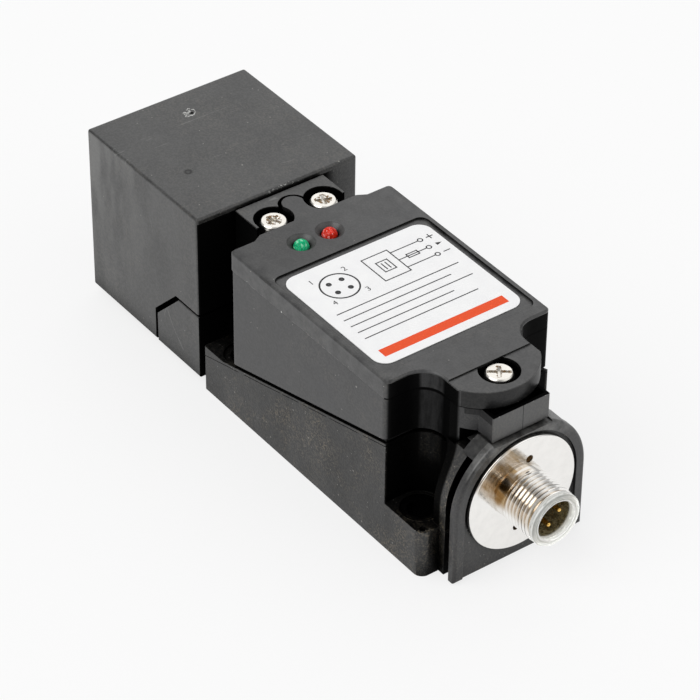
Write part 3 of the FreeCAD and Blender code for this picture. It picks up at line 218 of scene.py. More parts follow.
class StageSettings(bpy.types.PropertyGroup):
    """Camera, light and floor."""

    camera_place: vector("Camera place", "Where the camera stands",
                         (-0.42409, 0.32649, 0.43815), "TRANSLATION")
    camera_turn: vector("Camera turn", "How the camera is turned",
                        [math.radians(turn) for turn in (52.26139, -0.49431, -126.34974)], "EULER")
    lens: number("Lens", "Focal length in millimetres on a 36 mm sensor", 174.22)
    sky: number("Sky", "Strength of the white light from all round", 0.50)
    softbox: number("Softbox", "Strength of the broad light behind the object", 0.85)
    softbox_from: vector("Softbox from", "Direction towards the broad light", (0.61, -0.47, 0.66))
    fill: number("Fill", "Strength of the broad light on the plug's side", 0.70)
    fill_from: vector("Fill from", "Direction towards the light on the plug's side", (-0.61, -0.47, 0.64))
    dark_from: vector("Dark side", "Direction towards the unlit part of the room", (-0.70, 0.62, 0.35))
    key: number("Key", "Strength of the soft light from the side and above", 1.35)
    key_from: vector("Key from", "Direction towards the key light", (0.10, 0.66, 0.74))
    key_angle: angle("Key softness", "Angle that the key light fills", 50)
    floor_half: length("Floor", "Half the floor's side", 2500)
    floor_colour: colour("Floor", "Colour of the floor", (0.88, 0.88, 0.88))
    white: number("White", "Strength of the floor's own white, where 1 is white", 0.985)
    wash: share("Wash", "How much of the floor that is seen is its own white, over its shadows", 0.78)


def operation(kind, swapped=False):
    """A method that adds one Math node of this kind."""
    def method(self, other=0):
        return self.finish.math(kind, other, self) if swapped else self.finish.math(kind, self, other)
    return method


class Value:
    """A number socket of a finish. Arithmetic on it adds Math nodes."""

    __add__, __radd__ = operation("ADD"), operation("ADD", True)
    __sub__, __rsub__ = operation("SUBTRACT"), operation("SUBTRACT", True)
    __mul__, __rmul__ = operation("MULTIPLY"), operation("MULTIPLY", True)
    __lt__, __gt__ = operation("LESS_THAN"), operation("GREATER_THAN")
    __pow__, __abs__ = operation("POWER"), operation("ABSOLUTE")
    at_least, at_most = operation("MAXIMUM"), operation("MINIMUM")

    def __init__(self, finish, socket):
        self.finish = finish
        self.socket = socket

    def ramp(self, low, high):
        """0 below low, 1 above high, smooth between."""
        return self.finish.node("ShaderNodeMapRange", {"interpolation_type": "SMOOTHSTEP"},
                                {"Value": self, "From Min": low, "From Max": high})

    def near(self, place, inner, outer):
        """1 as far as inner from a place, 0 from outer on, smooth between."""
        return 1 - abs(self - place).ramp(inner, outer)

    def between(self, low, high):
        """1 between two limits, 0 outside."""
        return (self > low) * (self < high)


def span(first, second):
    """The distance that two lengths at right angles span."""
    return (first ** 2 + second ** 2) ** 0.5


def spaced(values):
    """Sockets by name from keywords, where an underscore stands for a space."""
    return {key.replace("_", " "): value for key, value in values.items()}


def tint(shade, factor):
    """A colour made lighter or darker."""
    return [min(1.0, part * factor) for part in shade]


class Shading:
    """A node tree that is built from expressions on its sockets."""

    def __init__(self, owner, shader):
        owner.use_nodes = True
        self.owner = owner
        self.tree = owner.node_tree
        self.shader = self.tree.nodes[shader]

    def set(self, **values):
        """Give the shader's sockets their values or links, and hand over what owns it."""
        for key, value in spaced(values).items():
            self.feed(self.shader.inputs[key], value)
        return self.owner

    def feed(self, socket, value):
        """Link a value to a socket, or set the socket to a constant."""
        if isinstance(value, Value):
            self.tree.links.new(value.socket, socket)
        else:
            socket.default_value = (*value[:3], 1) if socket.type == "RGBA" else value

    def node(self, kind, settings=None, inputs=None, output=0):
        """Add any node: its settings first, then its sockets."""
        made = self.tree.nodes.new(kind)
        for key, value in (settings or {}).items():
            setattr(made, key, value)
        for key, value in (inputs or {}).items():
            self.feed(made.inputs[key], value)
        return Value(self, made.outputs[output])

    def math(self, kind, first, second):
        """One Math node."""
        return self.node("ShaderNodeMath", {"operation": kind}, {0: first, 1: second})

    def vector(self, kind, first, second):
        """One Vector Math node that gives a number."""
        return self.node("ShaderNodeVectorMath", {"operation": kind}, {0: first, 1: second}, "Value")


class Finish(Shading):
    """A procedural material on one Principled shader. Its places and sizes are in millimetres."""

    def __init__(self, name, **constants):
        super().__init__(bpy.data.materials.new(name), "Principled BSDF")
        metres = self.node("ShaderNodeTexCoord", output="Object")
        self.place = self.node("ShaderNodeVectorMath", {"operation": "SCALE"}, {0: metres, "Scale": 1 / MM})
        split = self.node("ShaderNodeSeparateXYZ", inputs={0: self.place}).socket.node
        self.x, self.y, self.z = (Value(self, socket) for socket in split.outputs)
        self.set(**constants)

    def texture(self, kind, size, settings=None, output=0, place=None, **inputs):
        """A texture whose patches, cells or waves are about this size."""
        sockets = {"Vector": place or self.place, "Scale": 1 / size, **spaced(inputs)}
        return self.node("ShaderNodeTex" + kind, settings, sockets, output)

    def noise(self, size, detail=2, roughness=0.5, stretch=None, place=None):
        """Cloudy noise from 0 to 1 whose patches are about this size."""
        if stretch:
            place = self.node("ShaderNodeMapping", inputs={"Vector": self.place, "Scale": stretch})
        return self.texture("Noise", size, place=place, Detail=detail, Roughness=roughness)

    def chance(self, spacing):
        """A number from 0 to 1 for each cell of this spacing."""
        shade = self.texture("Voronoi", spacing, output="Color")
        return self.node("ShaderNodeSeparateColor", inputs={0: shade})

    def specks(self, spacing, radius, amount):
        """Round specks: one in each cell of this spacing, where the cell's own chance is under the amount."""
        return (self.texture("Voronoi", spacing) < radius / spacing) * (self.chance(spacing) < amount)

    def point(self, *parts):
        """A place made from values along the axes."""
        return self.node("ShaderNodeCombineXYZ", inputs=dict(enumerate(parts)))

    def away(self, point):
        """The distance from one point."""
        return self.vector("DISTANCE", self.place, point)

    def mix(self, factor, first, second):
        """A colour between two colours."""
        return self.node("ShaderNodeMix", {"data_type": "RGBA"}, {0: factor, 6: first, 7: second}, output=2)

    def layers(self, tone, *over):
        """A tone under more colours, each laid on by its own factor."""
        for factor, shade in over:
            tone = self.mix(factor, tone, shade)
        return tone

    def rounded(self, radius):
        """The surface's normal with its edges rounded, and a mask of those edges."""
        normal = self.node("ShaderNodeBevel", {"samples": 6}, {"Radius": radius})
        true_normal = self.node("ShaderNodeNewGeometry", output="True Normal")
        return normal, (1 - self.vector("DOT_PRODUCT", normal, true_normal)).ramp(0.01, 0.16)

    def open(self, reach):
        """1 on open faces, towards 0 deep in gaps and hollows of this size."""
        return self.node("ShaderNodeAmbientOcclusion", {"samples": 6}, {"Distance": reach}, output="AO")

    def bump(self, height, depth, **normal):
        """The normal of a surface that this height shapes."""
        return self.node("ShaderNodeBump", inputs={"Height": height, "Distance": depth * MM, "Strength": 1,
                                                   **normal})

    def cover(self, factor, kind, **inputs):
        """Lay a second shader over the first, by this factor."""
        first = Value(self, self.shader.outputs[0])
        over = self.node(kind, inputs=spaced(inputs))
        mixed = self.node("ShaderNodeMixShader", inputs={0: factor, 1: first, 2: over})
        self.feed(self.tree.nodes["Material Output"].inputs["Surface"], mixed)


def moulded(name, shade, grain, roughness, relief, wear, dust=0.0, marks=None, lines=None, swell=None,
            depth=1.0, grit=0.3):
    """Moulded plastic: eroded grain, cloudy tone, worn edges, dust, its own marks, lines and swell, and
    painted shade in gaps and hollows.
    """
    look = bpy.context.scene.sensor_finish
    finish = Finish(name, Specular_IOR_Level=0.64)
    size = look.cloud / MM
    dust = look.dust * dust
    cloud = finish.noise(size, 4, 0.6, (1, 1, 0.45))
    pits = finish.noise(grain / MM, 2, 0.6)
    patch = finish.noise(size * 0.25, 4, 0.6)
    drift = finish.noise(size * 1.7, 3, 0.6)
    bank = finish.noise(size * 1.4, 3, stretch=(1, 1, 0.35)).ramp(0.34, 0.66)
    normal, edge = finish.rounded(look.edge)
    scuff = edge * finish.noise(1.1, 4, 0.7).ramp(0.46, 0.60) * wear
    specks = finish.specks(2.6, 0.20, dust) + finish.specks(1.1, 0.12, dust)
    clouds = patch.ramp(0.34, 0.66) * 0.15 + cloud.ramp(0.36, 0.64) * 0.25 + bank * 0.6
    mottle = pits.ramp(0.36, 0.64) * grit + clouds * (1 - grit)
    film = (0.2 + drift.ramp(0.42, 0.66) * 1.3) * (0.3 + patch.ramp(0.40, 0.68) * 0.7)
    film = film * pits.ramp(0.46, 0.60) * dust
    tone = finish.mix(mottle, tint(shade, 1 - look.contrast), tint(shade, 1 + look.contrast))
    tone = finish.layers(tone, (film, DUST), (scuff, SCUFF), (specks.ramp(0, 1) * 0.55, SPECK))
    # Pale marks: wear and flash, and on some mouldings painted light
    if marks:
        tone = finish.mix(marks(finish), tone, PALE_MARK_AND_LIGHT)
    # Painted shade: gaps and hollows found by occlusion, and what the lines add, get a near-black dull shader
    painted_shade = (1 - finish.open(look.hollow).ramp(0.42, 0.78)) * depth
    if lines:
        painted_shade = lines(finish, painted_shade)
    if swell:
        normal = finish.bump(swell(finish), 1.0, Normal=normal)
    sheen = (patch - 0.5) * 0.20 + (cloud - 0.5) * 0.30 + (bank - 0.5) * 0.10 + specks * 0.2
    # The near-black dull shader of the painted shade
    finish.cover(painted_shade, "ShaderNodeBsdfPrincipled", Base_Color=tint(shade, 0.04), Roughness=0.6,
                 Specular_IOR_Level=0.02)
    return finish.set(Base_Color=tone, Roughness=roughness + sheen,
                      Normal=finish.bump(pits + cloud * 0.4, relief, Normal=normal))


def weld_marks_and_painted_light(finish):
    """A weld line and flash crumbs along the lid's joint, and painted light: a haze near its long sides, pale
    lamp dishes and hood.
    """
    lid_low, lid_high = limits("module_lid")
    height = finish.z - lid_low.z
    wander = finish.noise(3.0, 3)
    broken = finish.noise(1.8, 3).ramp(0.50, 0.64)
    line = (height + (wander - 0.5) * 0.25).near(0, 0.03, 0.10)
    crumbs = finish.specks(1.3, 0.20, 0.25) * height.near(0.1, 0.25, 0.45)
    verge = abs(finish.y).ramp(16.6, 18.6)
    # Painted light: a pale haze on the lid above the joint, most near its long sides
    haze = (height > 0) * finish.noise(2.5, 3).ramp(0.2, 0.8) * (0.03 + verge * 0.045)
    # Painted sheen in the lamp dishes
    painted_dish_sheen = 0
    for lamp in ("led_green", "led_red"):
        centre = centre_of(lamp) / MM
        painted_dish_sheen = painted_dish_sheen + (span(finish.x - centre.x, finish.y - centre.y) < 3.1) * 0.05
    painted_dish_sheen = painted_dish_sheen * (finish.z < lid_high.z - 0.05)
    # Painted light on the hood's face
    hood = (finish.x < limits("module_body")[0].x + 0.3) * 0.10
    return line * broken * 0.15 + crumbs * 0.8 + haze + painted_dish_sheen + hood


def crown_highlight(finish):
    """A painted highlight, pale and cloudy, on the top of the end plate's crown."""
    return finish.z.ramp(24.0, 29.0) * finish.noise(2.0, 3).ramp(0.2, 0.8) * 0.22


def crown_lines(finish, painted_shade):
    """Painted shade on the shoulder of the end plate's crown, behind the rim and beside the open well."""
    behind = finish.x > limits("connector_plate")[0].x + 1.9
    return painted_shade.at_least(behind * (finish.y > 4.0) * 0.55)


def lid_swell(finish):
    """How far the lid's top falls away towards its long edges."""
    beyond = (abs(finish.y) - 16.8).at_least(0)
    rounding = 8.0
    return beyond * beyond * (-1 / (2 * rounding))


def rear_wells(finish, painted_shade, lines, glow):
    """Painted shade of hollows, lines and rear screw wells, less painted light on the well walls and floors
    and on the floors' rings.
    """
    along = finish.x + HOLES["spacing_x_mm"] / 2
    across = abs(finish.y) - HOLES["spacing_y_mm"] / 2
    reach = span(along, across)
    height = finish.z
    lid_low, lid_high = limits("module_lid")
    joint = abs(height - lid_low.z)
    well = (1 - reach.ramp(6.5, 7.2)) * height.between(9.0, lid_high.z - 0.6) * (abs(finish.y) < FLANK)
    floor = height.between(10.4, 11.3) * reach.between(3.0, 11.0)
    seat_ring, hole_ring = 4.15, 3.3
    rings = reach.near(seat_ring, 0.06, 0.20) + (abs(reach - hole_ring) < 0.09) * 0.6
    # Painted light on the wells' floors, brighter on their rings
    flange = floor * ((reach > 4.1) * 0.20 + rings * (along < 0) * 0.34)
    # Painted reflection: a band of light down each well's wall
    band = (along + across).near(-1.6, 2.6, 4.0) * (along - across > 0)
    band = band * (0.6 + finish.noise(0.8, 3, stretch=(1, 1, 0.2)).ramp(0.30, 0.62) * 0.4)
    band = band * height.ramp(17.0, 22.0) * joint.ramp(0.28, 0.42)
    crumbs = finish.specks(1.3, 0.20, 0.25) * (joint < 0.5)
    # The painted light on the walls, and crumbs of flash near the joint
    lit = band * (glow + (height > lid_low.z) * 0.26) + crumbs
    # The wells are painted in shade, less that light
    return painted_shade.at_least(lines).at_least(well * 0.97).at_most(1 - flange - lit * well)


def seam_lines(finish, painted_shade):
    """Painted shade in the wells, on the lid's front and on the lug's walls, with the joint of lid and tray
    at the lug and the hood's hairline.
    """
    rear = limits("module_body")[0].x
    lid_low, lid_high = limits("module_lid")
    hairline = (abs(finish.y + 0.45) < 0.07) * (finish.x < rear + 0.3)
    seam = finish.z.near(lid_low.z, 0.12, 0.22) * (finish.x < rear + 17.0) + hairline * 0.8
    # Painted shade on the top of the lid's front, deepest towards +X and +Y
    front = finish.x.ramp(11.0, 19.0) * finish.y.ramp(-8.0, 8.0) * (finish.z > lid_high.z - 0.2) * 0.15
    # Painted shade on the lug's walls
    lug = finish.x.between(rear + 0.4, rear + 6.5) * finish.z.between(lid_low.z - 2.0, lid_high.z - 0.45)
    return rear_wells(finish, painted_shade, (seam + front).at_least(lug * 0.5), 0.28)


def rub_marks(finish):
    """Rubs on the head's rear top edge, hair scratches, a pale cloudy patch on one side, and the torn ring of
    its gate.
    """
    low, high = limits("head_shell")
    edge = finish.y.near(-1.6, 3.5, 5.5) * (finish.x < low.x + 0.45) * (finish.z > high.z - 0.6)
    ragged = finish.noise(0.45, 4, 0.7)
    reach = finish.away(GATE)
    gate = (reach + (finish.noise(1.1) - 0.5) * 3.2).near(1.0, 0.12, 0.30)
    gate = gate * (reach < 1.9) * ragged.ramp(0.42, 0.54)
    hair = abs(finish.noise(9.0, 1, stretch=(1, 0.12, 0.3)) - 0.47) < 0.0022
    hair = hair * finish.noise(6.0).ramp(0.56, 0.64)
    # A pale cloudy patch on the +Y side, paler towards its top and front
    side = (finish.y > high.y - 0.1) * (0.25 + finish.z.ramp(low.z, high.z) * 0.75)
    side = side * (0.2 + finish.x.ramp(low.x + 12.0, high.x) * 0.8)
    bloom = side * finish.noise(6.0, 3, stretch=(1, 1, 0.3)).ramp(0.36, 0.62)
    return edge * ragged.ramp(0.55, 0.66) + gate * 0.9 + hair * 0.13 + bloom * 0.17


def gate_lines(finish, painted_shade):
    """The dark pit in the moulding gate, the ring of an ejector pin, and painted shade in the gap behind the
    head.
    """
    pit = 1 - finish.away(GATE + Vector((-0.2, -0.3, 0))).ramp(0.25, 0.55)
    reach = finish.away(EJECTOR)
    ejector = reach.near(0.72, 0.08, 0.36) * 0.32 + (reach < 0.72) * 0.25
    # Painted shade in the gap behind the head, fading out at its -Y end
    gap = (finish.x < limits("head_shell")[0].x + 0.2) * (finish.z < limits("head_bracket")[1].z - 0.3)
    return painted_shade.at_least(pit + ejector + gap * finish.y.ramp(-15.0, -12.0))


def rim_level(finish):
    """How far a place lies above the base's slanted rim."""
    look = bpy.context.scene.sensor_finish
    return finish.z - look.rim_height / MM + (finish.x - look.rim_place / MM) * look.rim_fall


def rim_marks(finish):
    """Crumbs of dust and flash that lie on the lip along the base's rim."""
    lip = bpy.context.scene.sensor_finish.lip / MM
    near = rim_level(finish).between(-lip * 1.4, 0) * (abs(finish.y) > RIM)
    return near * finish.specks(0.9, 0.12, 0.30) * 0.5


def rim_lines(finish, painted_shade):
    """Painted shade in the wells and, evenly, on the flanks, and the dark line under the lip along the base's
    rim.
    """
    lip = bpy.context.scene.sensor_finish.lip / MM
    wander = (finish.noise(4.0, 3) - 0.5) * 0.3
    line = (rim_level(finish) + wander).near(-lip, 0.05, 0.13)
    line = line * finish.noise(5.0, 3).ramp(0.36, 0.46) * (abs(finish.y) > RIM)
    # Painted shade: the flanks lose the hollows' shade and take an even one
    flank = abs(finish.y) > FLANK
    return rear_wells(finish, painted_shade * (1 - flank), line.at_least(flank * 0.17), 0.16)


def bright_metal(name, shade, roughness, grain=0.1, reflection_and_tarnish=None):
    """Plated metal: haze, a tan layer where asked (on the neck a painted reflection), freckles and flaky
    brown grime where the mesh says so.
    """
    finish = Finish(name)
    haze = finish.noise(2.4, 4, 0.6)
    fine = finish.noise(0.12)
    flake = finish.noise(0.62, 2, 0.55)
    freckle = finish.specks(1.4, 0.05, 0.02)
    grime = finish.node("ShaderNodeAttribute", {"attribute_name": "grime"}, output="Fac")
    grime = (grime + (flake - 0.5) * grime * 1.6).ramp(0.53, 0.64)
    tone = finish.mix(haze.ramp(0.3, 0.75), shade, tint(shade, 0.95))
    if reflection_and_tarnish:
        tone = finish.mix(reflection_and_tarnish(finish), tone, TAN)
    dirt = finish.mix(flake.ramp(0.42, 0.60), DARK_GRIME, LIGHT_GRIME)
    return finish.set(Base_Color=finish.layers(tone, (freckle * 0.6, FRECKLE), (grime, dirt)),
                      Metallic=1 - grime * 0.8,
                      Roughness=roughness + haze * 0.05 + fine * 0.03 + freckle * 0.3 + grime * 0.35,
                      Normal=finish.bump(fine, grain * 0.004))


def neck_reflection_and_tarnish(finish):
    """Painted reflection: a streaky tan band on disc and neck, up and to the side of the plug's axis; and tan
    thread valleys.
    """
    height = finish.z - AXIS_HEIGHT
    across, up = 0.61, 0.79
    outward = finish.y * across + height * up
    aside = height * across - finish.y * up
    reach = span(outward, aside)
    streaks = finish.noise(1.9, 3, place=finish.point(aside, outward * 0.2))
    lead = bpy.context.scene.sensor_connector.thread_lead
    thread = (THREAD["pos_m"][0] + lead) / MM + THREAD["dims"]["length_mm"] / 2
    plain = finish.x.ramp(thread - 0.2, thread)
    valley = (1 - plain) * (1 - reach.ramp(5.48, 5.62))
    neck_top = (reach < 6.2) * aside.ramp(0.5, 2.5)
    # The tan band of painted reflection
    band = outward.ramp(2.0, 4.5) * aside.near(0, 4.4, 6.2) * (0.4 + plain * 0.6)
    band = band * (1 - outward.ramp(10.5, 13.0) * 0.6) * (1 - neck_top * 0.9)
    return band * (0.4 + streaks.ramp(0.35, 0.62) * 0.6) + valley * 0.45


def rubber(name, shade):
    """Matt rubber with a soft bloom."""
    finish = Finish(name, Specular_IOR_Level=0.35)
    bloom = finish.noise(1.6, 4, 0.65)
    return finish.set(Base_Color=finish.mix(bloom.ramp(0.35, 0.7), shade, tint(shade, 1.8)),
                      Roughness=0.72 + bloom * 0.15, Normal=finish.bump(finish.noise(0.09), 0.012))


def clear_plastic(name):
    """Clear plastic with flow clouds, a painted glow, painted shade in its upper arc and inner band, a
    painted highlight at the bore's edge, and a painted olive reflection where it lines the barrel.
    """
    # Painted glow: the ring gives off light in its own colour, though it is no lamp
    finish = Finish(name, Transmission_Weight=0.6, IOR=1.45, Emission_Strength=0.26)
    flow = finish.noise(1.6, 3)
    olive_mottle = finish.noise(0.9, 4, 0.65)
    inside = (finish.x - limits("connector_shell")[0].x).ramp(-0.3, 0.5)
    height = finish.z - AXIS_HEIGHT
    reach = span(finish.y, height) + (flow - 0.5) * 0.5
    swirl = finish.noise(0.4, place=finish.point(reach, finish.x, flow * 0.6))
    # Painted shade on the ring's upper arc
    upper = (finish.y * 0.56 + height * 0.83).ramp(0.0, 4.0)
    clear = finish.mix(flow.ramp(0.3, 0.7), (0.98, 0.985, 0.97), (0.93, 0.94, 0.92))
    # Painted shade on the inner band and upper arc, grey flow swirls, and a painted highlight at the bore's
    # edge
    clear = finish.layers(clear, (1 - reach.ramp(5.0, 5.35), (0.80, 0.805, 0.77)),
                          (swirl.ramp(0.52, 0.60) * 0.45, (0.50, 0.52, 0.48)),
                          (upper * (0.25 + swirl.ramp(0.42, 0.62) * 0.75) * 0.75, (0.34, 0.35, 0.33)),
                          (reach.near(4.55, 0.06, 0.18), (1.0, 1.0, 0.99)))
    # Painted reflection: olive where the ring lines the barrel
    olive = finish.mix(olive_mottle.ramp(0.35, 0.65), (0.16, 0.125, 0.05), (0.52, 0.46, 0.28))
    return finish.set(Base_Color=finish.mix(inside, clear, olive), Roughness=0.02 + flow * 0.06,
                      Emission_Color=finish.mix(inside, clear, (0.02, 0.016, 0.008)),
                      Normal=finish.bump(flow + olive_mottle * 0.4 + swirl * 0.5, 0.16))


def lamp_lens(name, shade):
    """Coloured lens with light and dark facets in its depth, and painted glints: pale specks on some facets.
    """
    finish = Finish(name, Coat_Weight=0.05, Coat_Roughness=0.08, Specular_IOR_Level=0.10)
    size = 0.45
    facet = finish.chance(size)
    edge = finish.texture("Voronoi", size, {"feature": "DISTANCE_TO_EDGE"})
    tone = finish.mix(facet, tint(shade, 0.65), tint(shade, 1.25))
    # Painted glints on some facets
    pale = (edge < 0.08) * (facet > 0.6) * 0.20 + (facet > 0.9) * 0.36
    return finish.set(Base_Color=finish.mix(pale, tone, [0.60 + 0.40 * part for part in shade]),
                      Roughness=0.16 + facet * 0.12, Normal=finish.bump(facet, 0.05))


def paper(name):
    """White label film: faint mottle and a soft sheen."""
    finish = Finish(name, Coat_Weight=0.25, Coat_Roughness=0.25)
    mottle = finish.noise(3.2, 4)
    return finish.set(Base_Color=finish.mix(mottle.ramp(0.3, 0.7), (0.87, 0.87, 0.87), (0.84, 0.84, 0.845)),
                      Roughness=0.42 + finish.noise(0.2) * 0.14, Normal=finish.bump(mottle, 0.03))


def print_ink(name, shade):
    """Printed ink with slightly uneven cover."""
    finish = Finish(name, Specular_IOR_Level=0.2)
    cover = finish.noise(0.35, 3)
    return finish.set(Base_Color=finish.mix(cover.ramp(0.55, 0.8), shade, tint(shade, 1.35)),
                      Roughness=0.4 + cover * 0.15)


def cast_resin(name, shade):
    """Cast resin with small voids and clouds."""
    finish = Finish(name)
    cloud = finish.noise(4.0, 4)
    void = finish.specks(2.2, 0.18, 0.3)
    tone = finish.mix(cloud, tint(shade, 0.75), tint(shade, 1.35))
    return finish.set(Base_Color=finish.mix(void * 0.7, tone, tint(shade, 0.3)), Roughness=0.32 + cloud * 0.2,
                      Normal=finish.bump(cloud - void, 0.06))


def laminate(name, shade):
    """Solder mask over glass weave and copper tracks."""
    finish = Finish(name)
    weave = finish.texture("Wave", 1.1, {"bands_direction": "DIAGONAL"}, Distortion=1.5, Detail=2)
    track = finish.texture("Brick", 9, output="Fac", Mortar_Size=0.03)
    tone = finish.mix(weave * 0.3, shade, tint(shade, 0.7))
    return finish.set(Base_Color=finish.mix(track * 0.5, tone, tint(shade, 1.9)),
                      Roughness=0.35 + weave * 0.1, Normal=finish.bump(track, 0.02))


def ferrite(name, shade):
    """Sintered ferrite: granular and slightly shiny."""
    finish = Finish(name, Metallic=0.25)
    grain = finish.noise(0.25, 5, 0.7)
    return finish.set(Base_Color=finish.mix(grain, tint(shade, 0.6), tint(shade, 1.5)),
                      Roughness=0.38 + grain * 0.25, Normal=finish.bump(grain, 0.03))


def wound_copper(name, shade):
    """Enamelled copper wire, wound in close turns about the sensing axis."""
    finish = Finish(name, Metallic=0.9)
    turns = finish.texture("Wave", 2.0, {"wave_profile": "SIN"}, Distortion=0.2)
    return finish.set(Base_Color=finish.mix(turns, tint(shade, 0.45), shade), Roughness=0.3 + turns * 0.1,
                      Normal=finish.bump(turns, 0.08))


def blank():
    """An empty bmesh whose points can carry grime."""
    bm = bmesh.new()
    bm.verts.layers.float.new("grime")
    return bm


def spun(bm, steps, tolerance, rise=0.0):
    """Spin a wire once about the Z axis, rising as a thread does or closing on itself."""
    bmesh.ops.spin(bm, geom=bm.verts[:] + bm.edges[:], cent=(0, 0, 0), axis=(0, 0, 1),
                   dvec=(0, 0, rise / steps), angle=FULL_TURN, steps=steps, use_merge=rise == 0)
    bmesh.ops.remove_doubles(bm, verts=bm.verts[:], dist=tolerance)
    return bm


def turned(rows, steps, closed=False):
    """A piece turned about the Z axis from (radius, height, rounding) rows."""
    bm = blank()
    verts = [bm.verts.new((across, 0, up)) for across, up, _ in rows]
    following = verts[1:] + verts[:1] if closed else verts[1:]
    for pair in zip(verts, following):
        bm.edges.new(pair)
    for vert, (_, _, rounding) in zip(verts, rows):
        if rounding > 0:
            bmesh.ops.bevel(bm, geom=[vert], offset=rounding, offset_type="OFFSET", segments=4, profile=0.5,
                            affect="VERTICES", material=-1)
    return spun(bm, steps, 0.0005 * MM)


def level_edges(bm, height):
    """The open edges that lie at one height."""
    tolerance = 0.002 * MM
    return [edge for edge in bm.edges if (edge.is_boundary or edge.is_wire)
            and all(abs(vert.co.z - height) < tolerance for vert in edge.verts)]


def ring_of_edges(bm, radius, centre, steps):
    """A bare circle parallel to the XY plane."""
    verts = bmesh.ops.create_circle(bm, cap_ends=False, segments=steps, radius=radius,
                                    matrix=Matrix.Translation(centre))["verts"]
    return list({edge for vert in verts for edge in vert.link_edges})


def filled(bm, edges):
    """Close flat outlines with faces."""
    bmesh.ops.triangle_fill(bm, use_beauty=True, edges=edges)


def sink(bm, edges, depth, taper, centre, stain=0.0, floor_stain=1.0):
    """Extrude an outline downwards, narrow it, close its floor and stain its rim and floor."""
    grime = bm.verts.layers.float["grime"]
    for edge in edges:
        edge.verts[0][grime] = edge.verts[1][grime] = stain
    grown = bmesh.ops.extrude_edge_only(bm, edges=edges)["geom"]
    verts = [item for item in grown if isinstance(item, bmesh.types.BMVert)]
    floor = [item for item in grown if isinstance(item, bmesh.types.BMEdge)
             and all(vert in verts for vert in item.verts)]
    bmesh.ops.scale(bm, vec=(taper, taper, 1), verts=verts, space=Matrix.Translation(-Vector(centre)))
    bmesh.ops.translate(bm, vec=(0, 0, -depth), verts=verts)
    filled(bm, floor)
    for vert in verts:
        vert[grime] = floor_stain


def threaded(start, end, radius, depth, pitch, steps, bore=0.0):
    """A closed threaded bar, or tube with a bore, along Z with a chamfered far end."""
    bm = blank()
    low = start - 2 * pitch
    profile = ((-depth, 0.0), (-depth, 0.12), (0.0, 0.42), (0.0, 0.58), (-depth, 0.88))
    verts = [bm.verts.new((radius + across, 0, low + (turn + up) * pitch))
             for turn in range(int((end - start) / pitch) + 4) for across, up in profile]
    for pair in zip(verts, verts[1:]):
        bm.edges.new(pair)
    spun(bm, steps, 0.002 * MM, pitch)
    for vert in bm.verts:
        reach = vert.co.xy.length
        limit = max(radius - depth + end - vert.co.z, radius - 1.5 * depth)
        if reach > limit:
            vert.co.xy *= limit / reach
    for height, outer in ((end, True), (start, False)):
        bmesh.ops.bisect_plane(bm, geom=bm.verts[:] + bm.edges[:] + bm.faces[:], dist=1e-9,
                               plane_co=(0, 0, height), plane_no=(0, 0, 1), clear_outer=outer,
                               clear_inner=not outer)
    inner = []
    for height in (start, end):
        edges = level_edges(bm, height)
        if bore > 0:
            circle = ring_of_edges(bm, bore, (0, 0, height), steps)
            inner += circle
            edges += circle
        filled(bm, edges)
    if bore > 0:
        bmesh.ops.bridge_loops(bm, edges=inner)
    return bm


def joined(parts):
    """Several bmeshes as one."""
    whole = bmesh.new()
    for part in parts:
        mesh = bpy.data.meshes.new("part")
        part.to_mesh(mesh)
        part.free()
        whole.from_mesh(mesh)
        bpy.data.meshes.remove(mesh)
    return whole


def moved(bm, matrix):
    """The same bmesh, moved and turned."""
    bmesh.ops.transform(bm, matrix=matrix, verts=bm.verts[:])
    return bm


def placed(name, data):
    """A new object in the scene."""
    made = bpy.data.objects.new(name, data)
    bpy.context.scene.collection.objects.link(made)
    return made


def piece(name, bm, body, material, replaced=(), smooth=35):
    """Make an object from a bmesh, give it its finish and let it ride on a body."""
    bmesh.ops.recalc_face_normals(bm, faces=bm.faces[:])
    mesh = bpy.data.meshes.new(name)
    bm.to_mesh(mesh)
    bm.free()
    if not mesh.polygons:
        raise RuntimeError(name + " has no faces")
    mesh.shade_smooth()
    mesh.set_sharp_from_angle(angle=math.radians(smooth))
    mesh.materials.append(material)
    made = placed(name, mesh)
    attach(made, body)
    if replaced:
        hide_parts(*replaced)


def paint(material, *nodes):
    """Give CAD nodes their finish."""
    for node in nodes:
        slots = frame["nodes"][node].data.materials
        slots.clear()
        slots.append(material)


def centre_of(node):
    """The middle of a CAD node's box."""
    low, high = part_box(node)
    return (Vector(low) + Vector(high)) / 2


class SENSOR_OT_housings(bpy.types.Operator):
    """Finish the moulded housings, the end plate and the seals"""

    bl_idname = "sensor.housings"
    bl_label = "Housings"

    def execute(self, context):
        look = context.scene.sensor_finish
        paint(moulded("head satin plastic", look.head_colour, look.grain, roughness=0.40, relief=0.010,
                      wear=0.35, dust=0.6, marks=rub_marks, lines=gate_lines),
              "head_shell", "head_bracket")
        paint(moulded("module satin plastic", look.module_colour, look.grain, roughness=0.38, relief=0.010,
                      wear=0.25, dust=0.6, marks=weld_marks_and_painted_light, lines=seam_lines, swell=lid_swell),
              "module_body", "module_lid")
        paint(moulded("base grained plastic", look.base_colour, look.base_grain, roughness=0.42, relief=0.06,
                      wear=0.25, dust=3.3, marks=rim_marks, lines=rim_lines, grit=0.65), "base_housing")
        paint(moulded("end plate plastic", look.plate_colour, look.grain, roughness=0.38, relief=0.016,
                      wear=0.3, dust=1.2, marks=crown_highlight, lines=crown_lines, depth=0.4), "connector_plate")
        paint(rubber("seal rubber", (0.012, 0.012, 0.012)), "base_gasket", "connector_gasket")
        return {"FINISHED"}


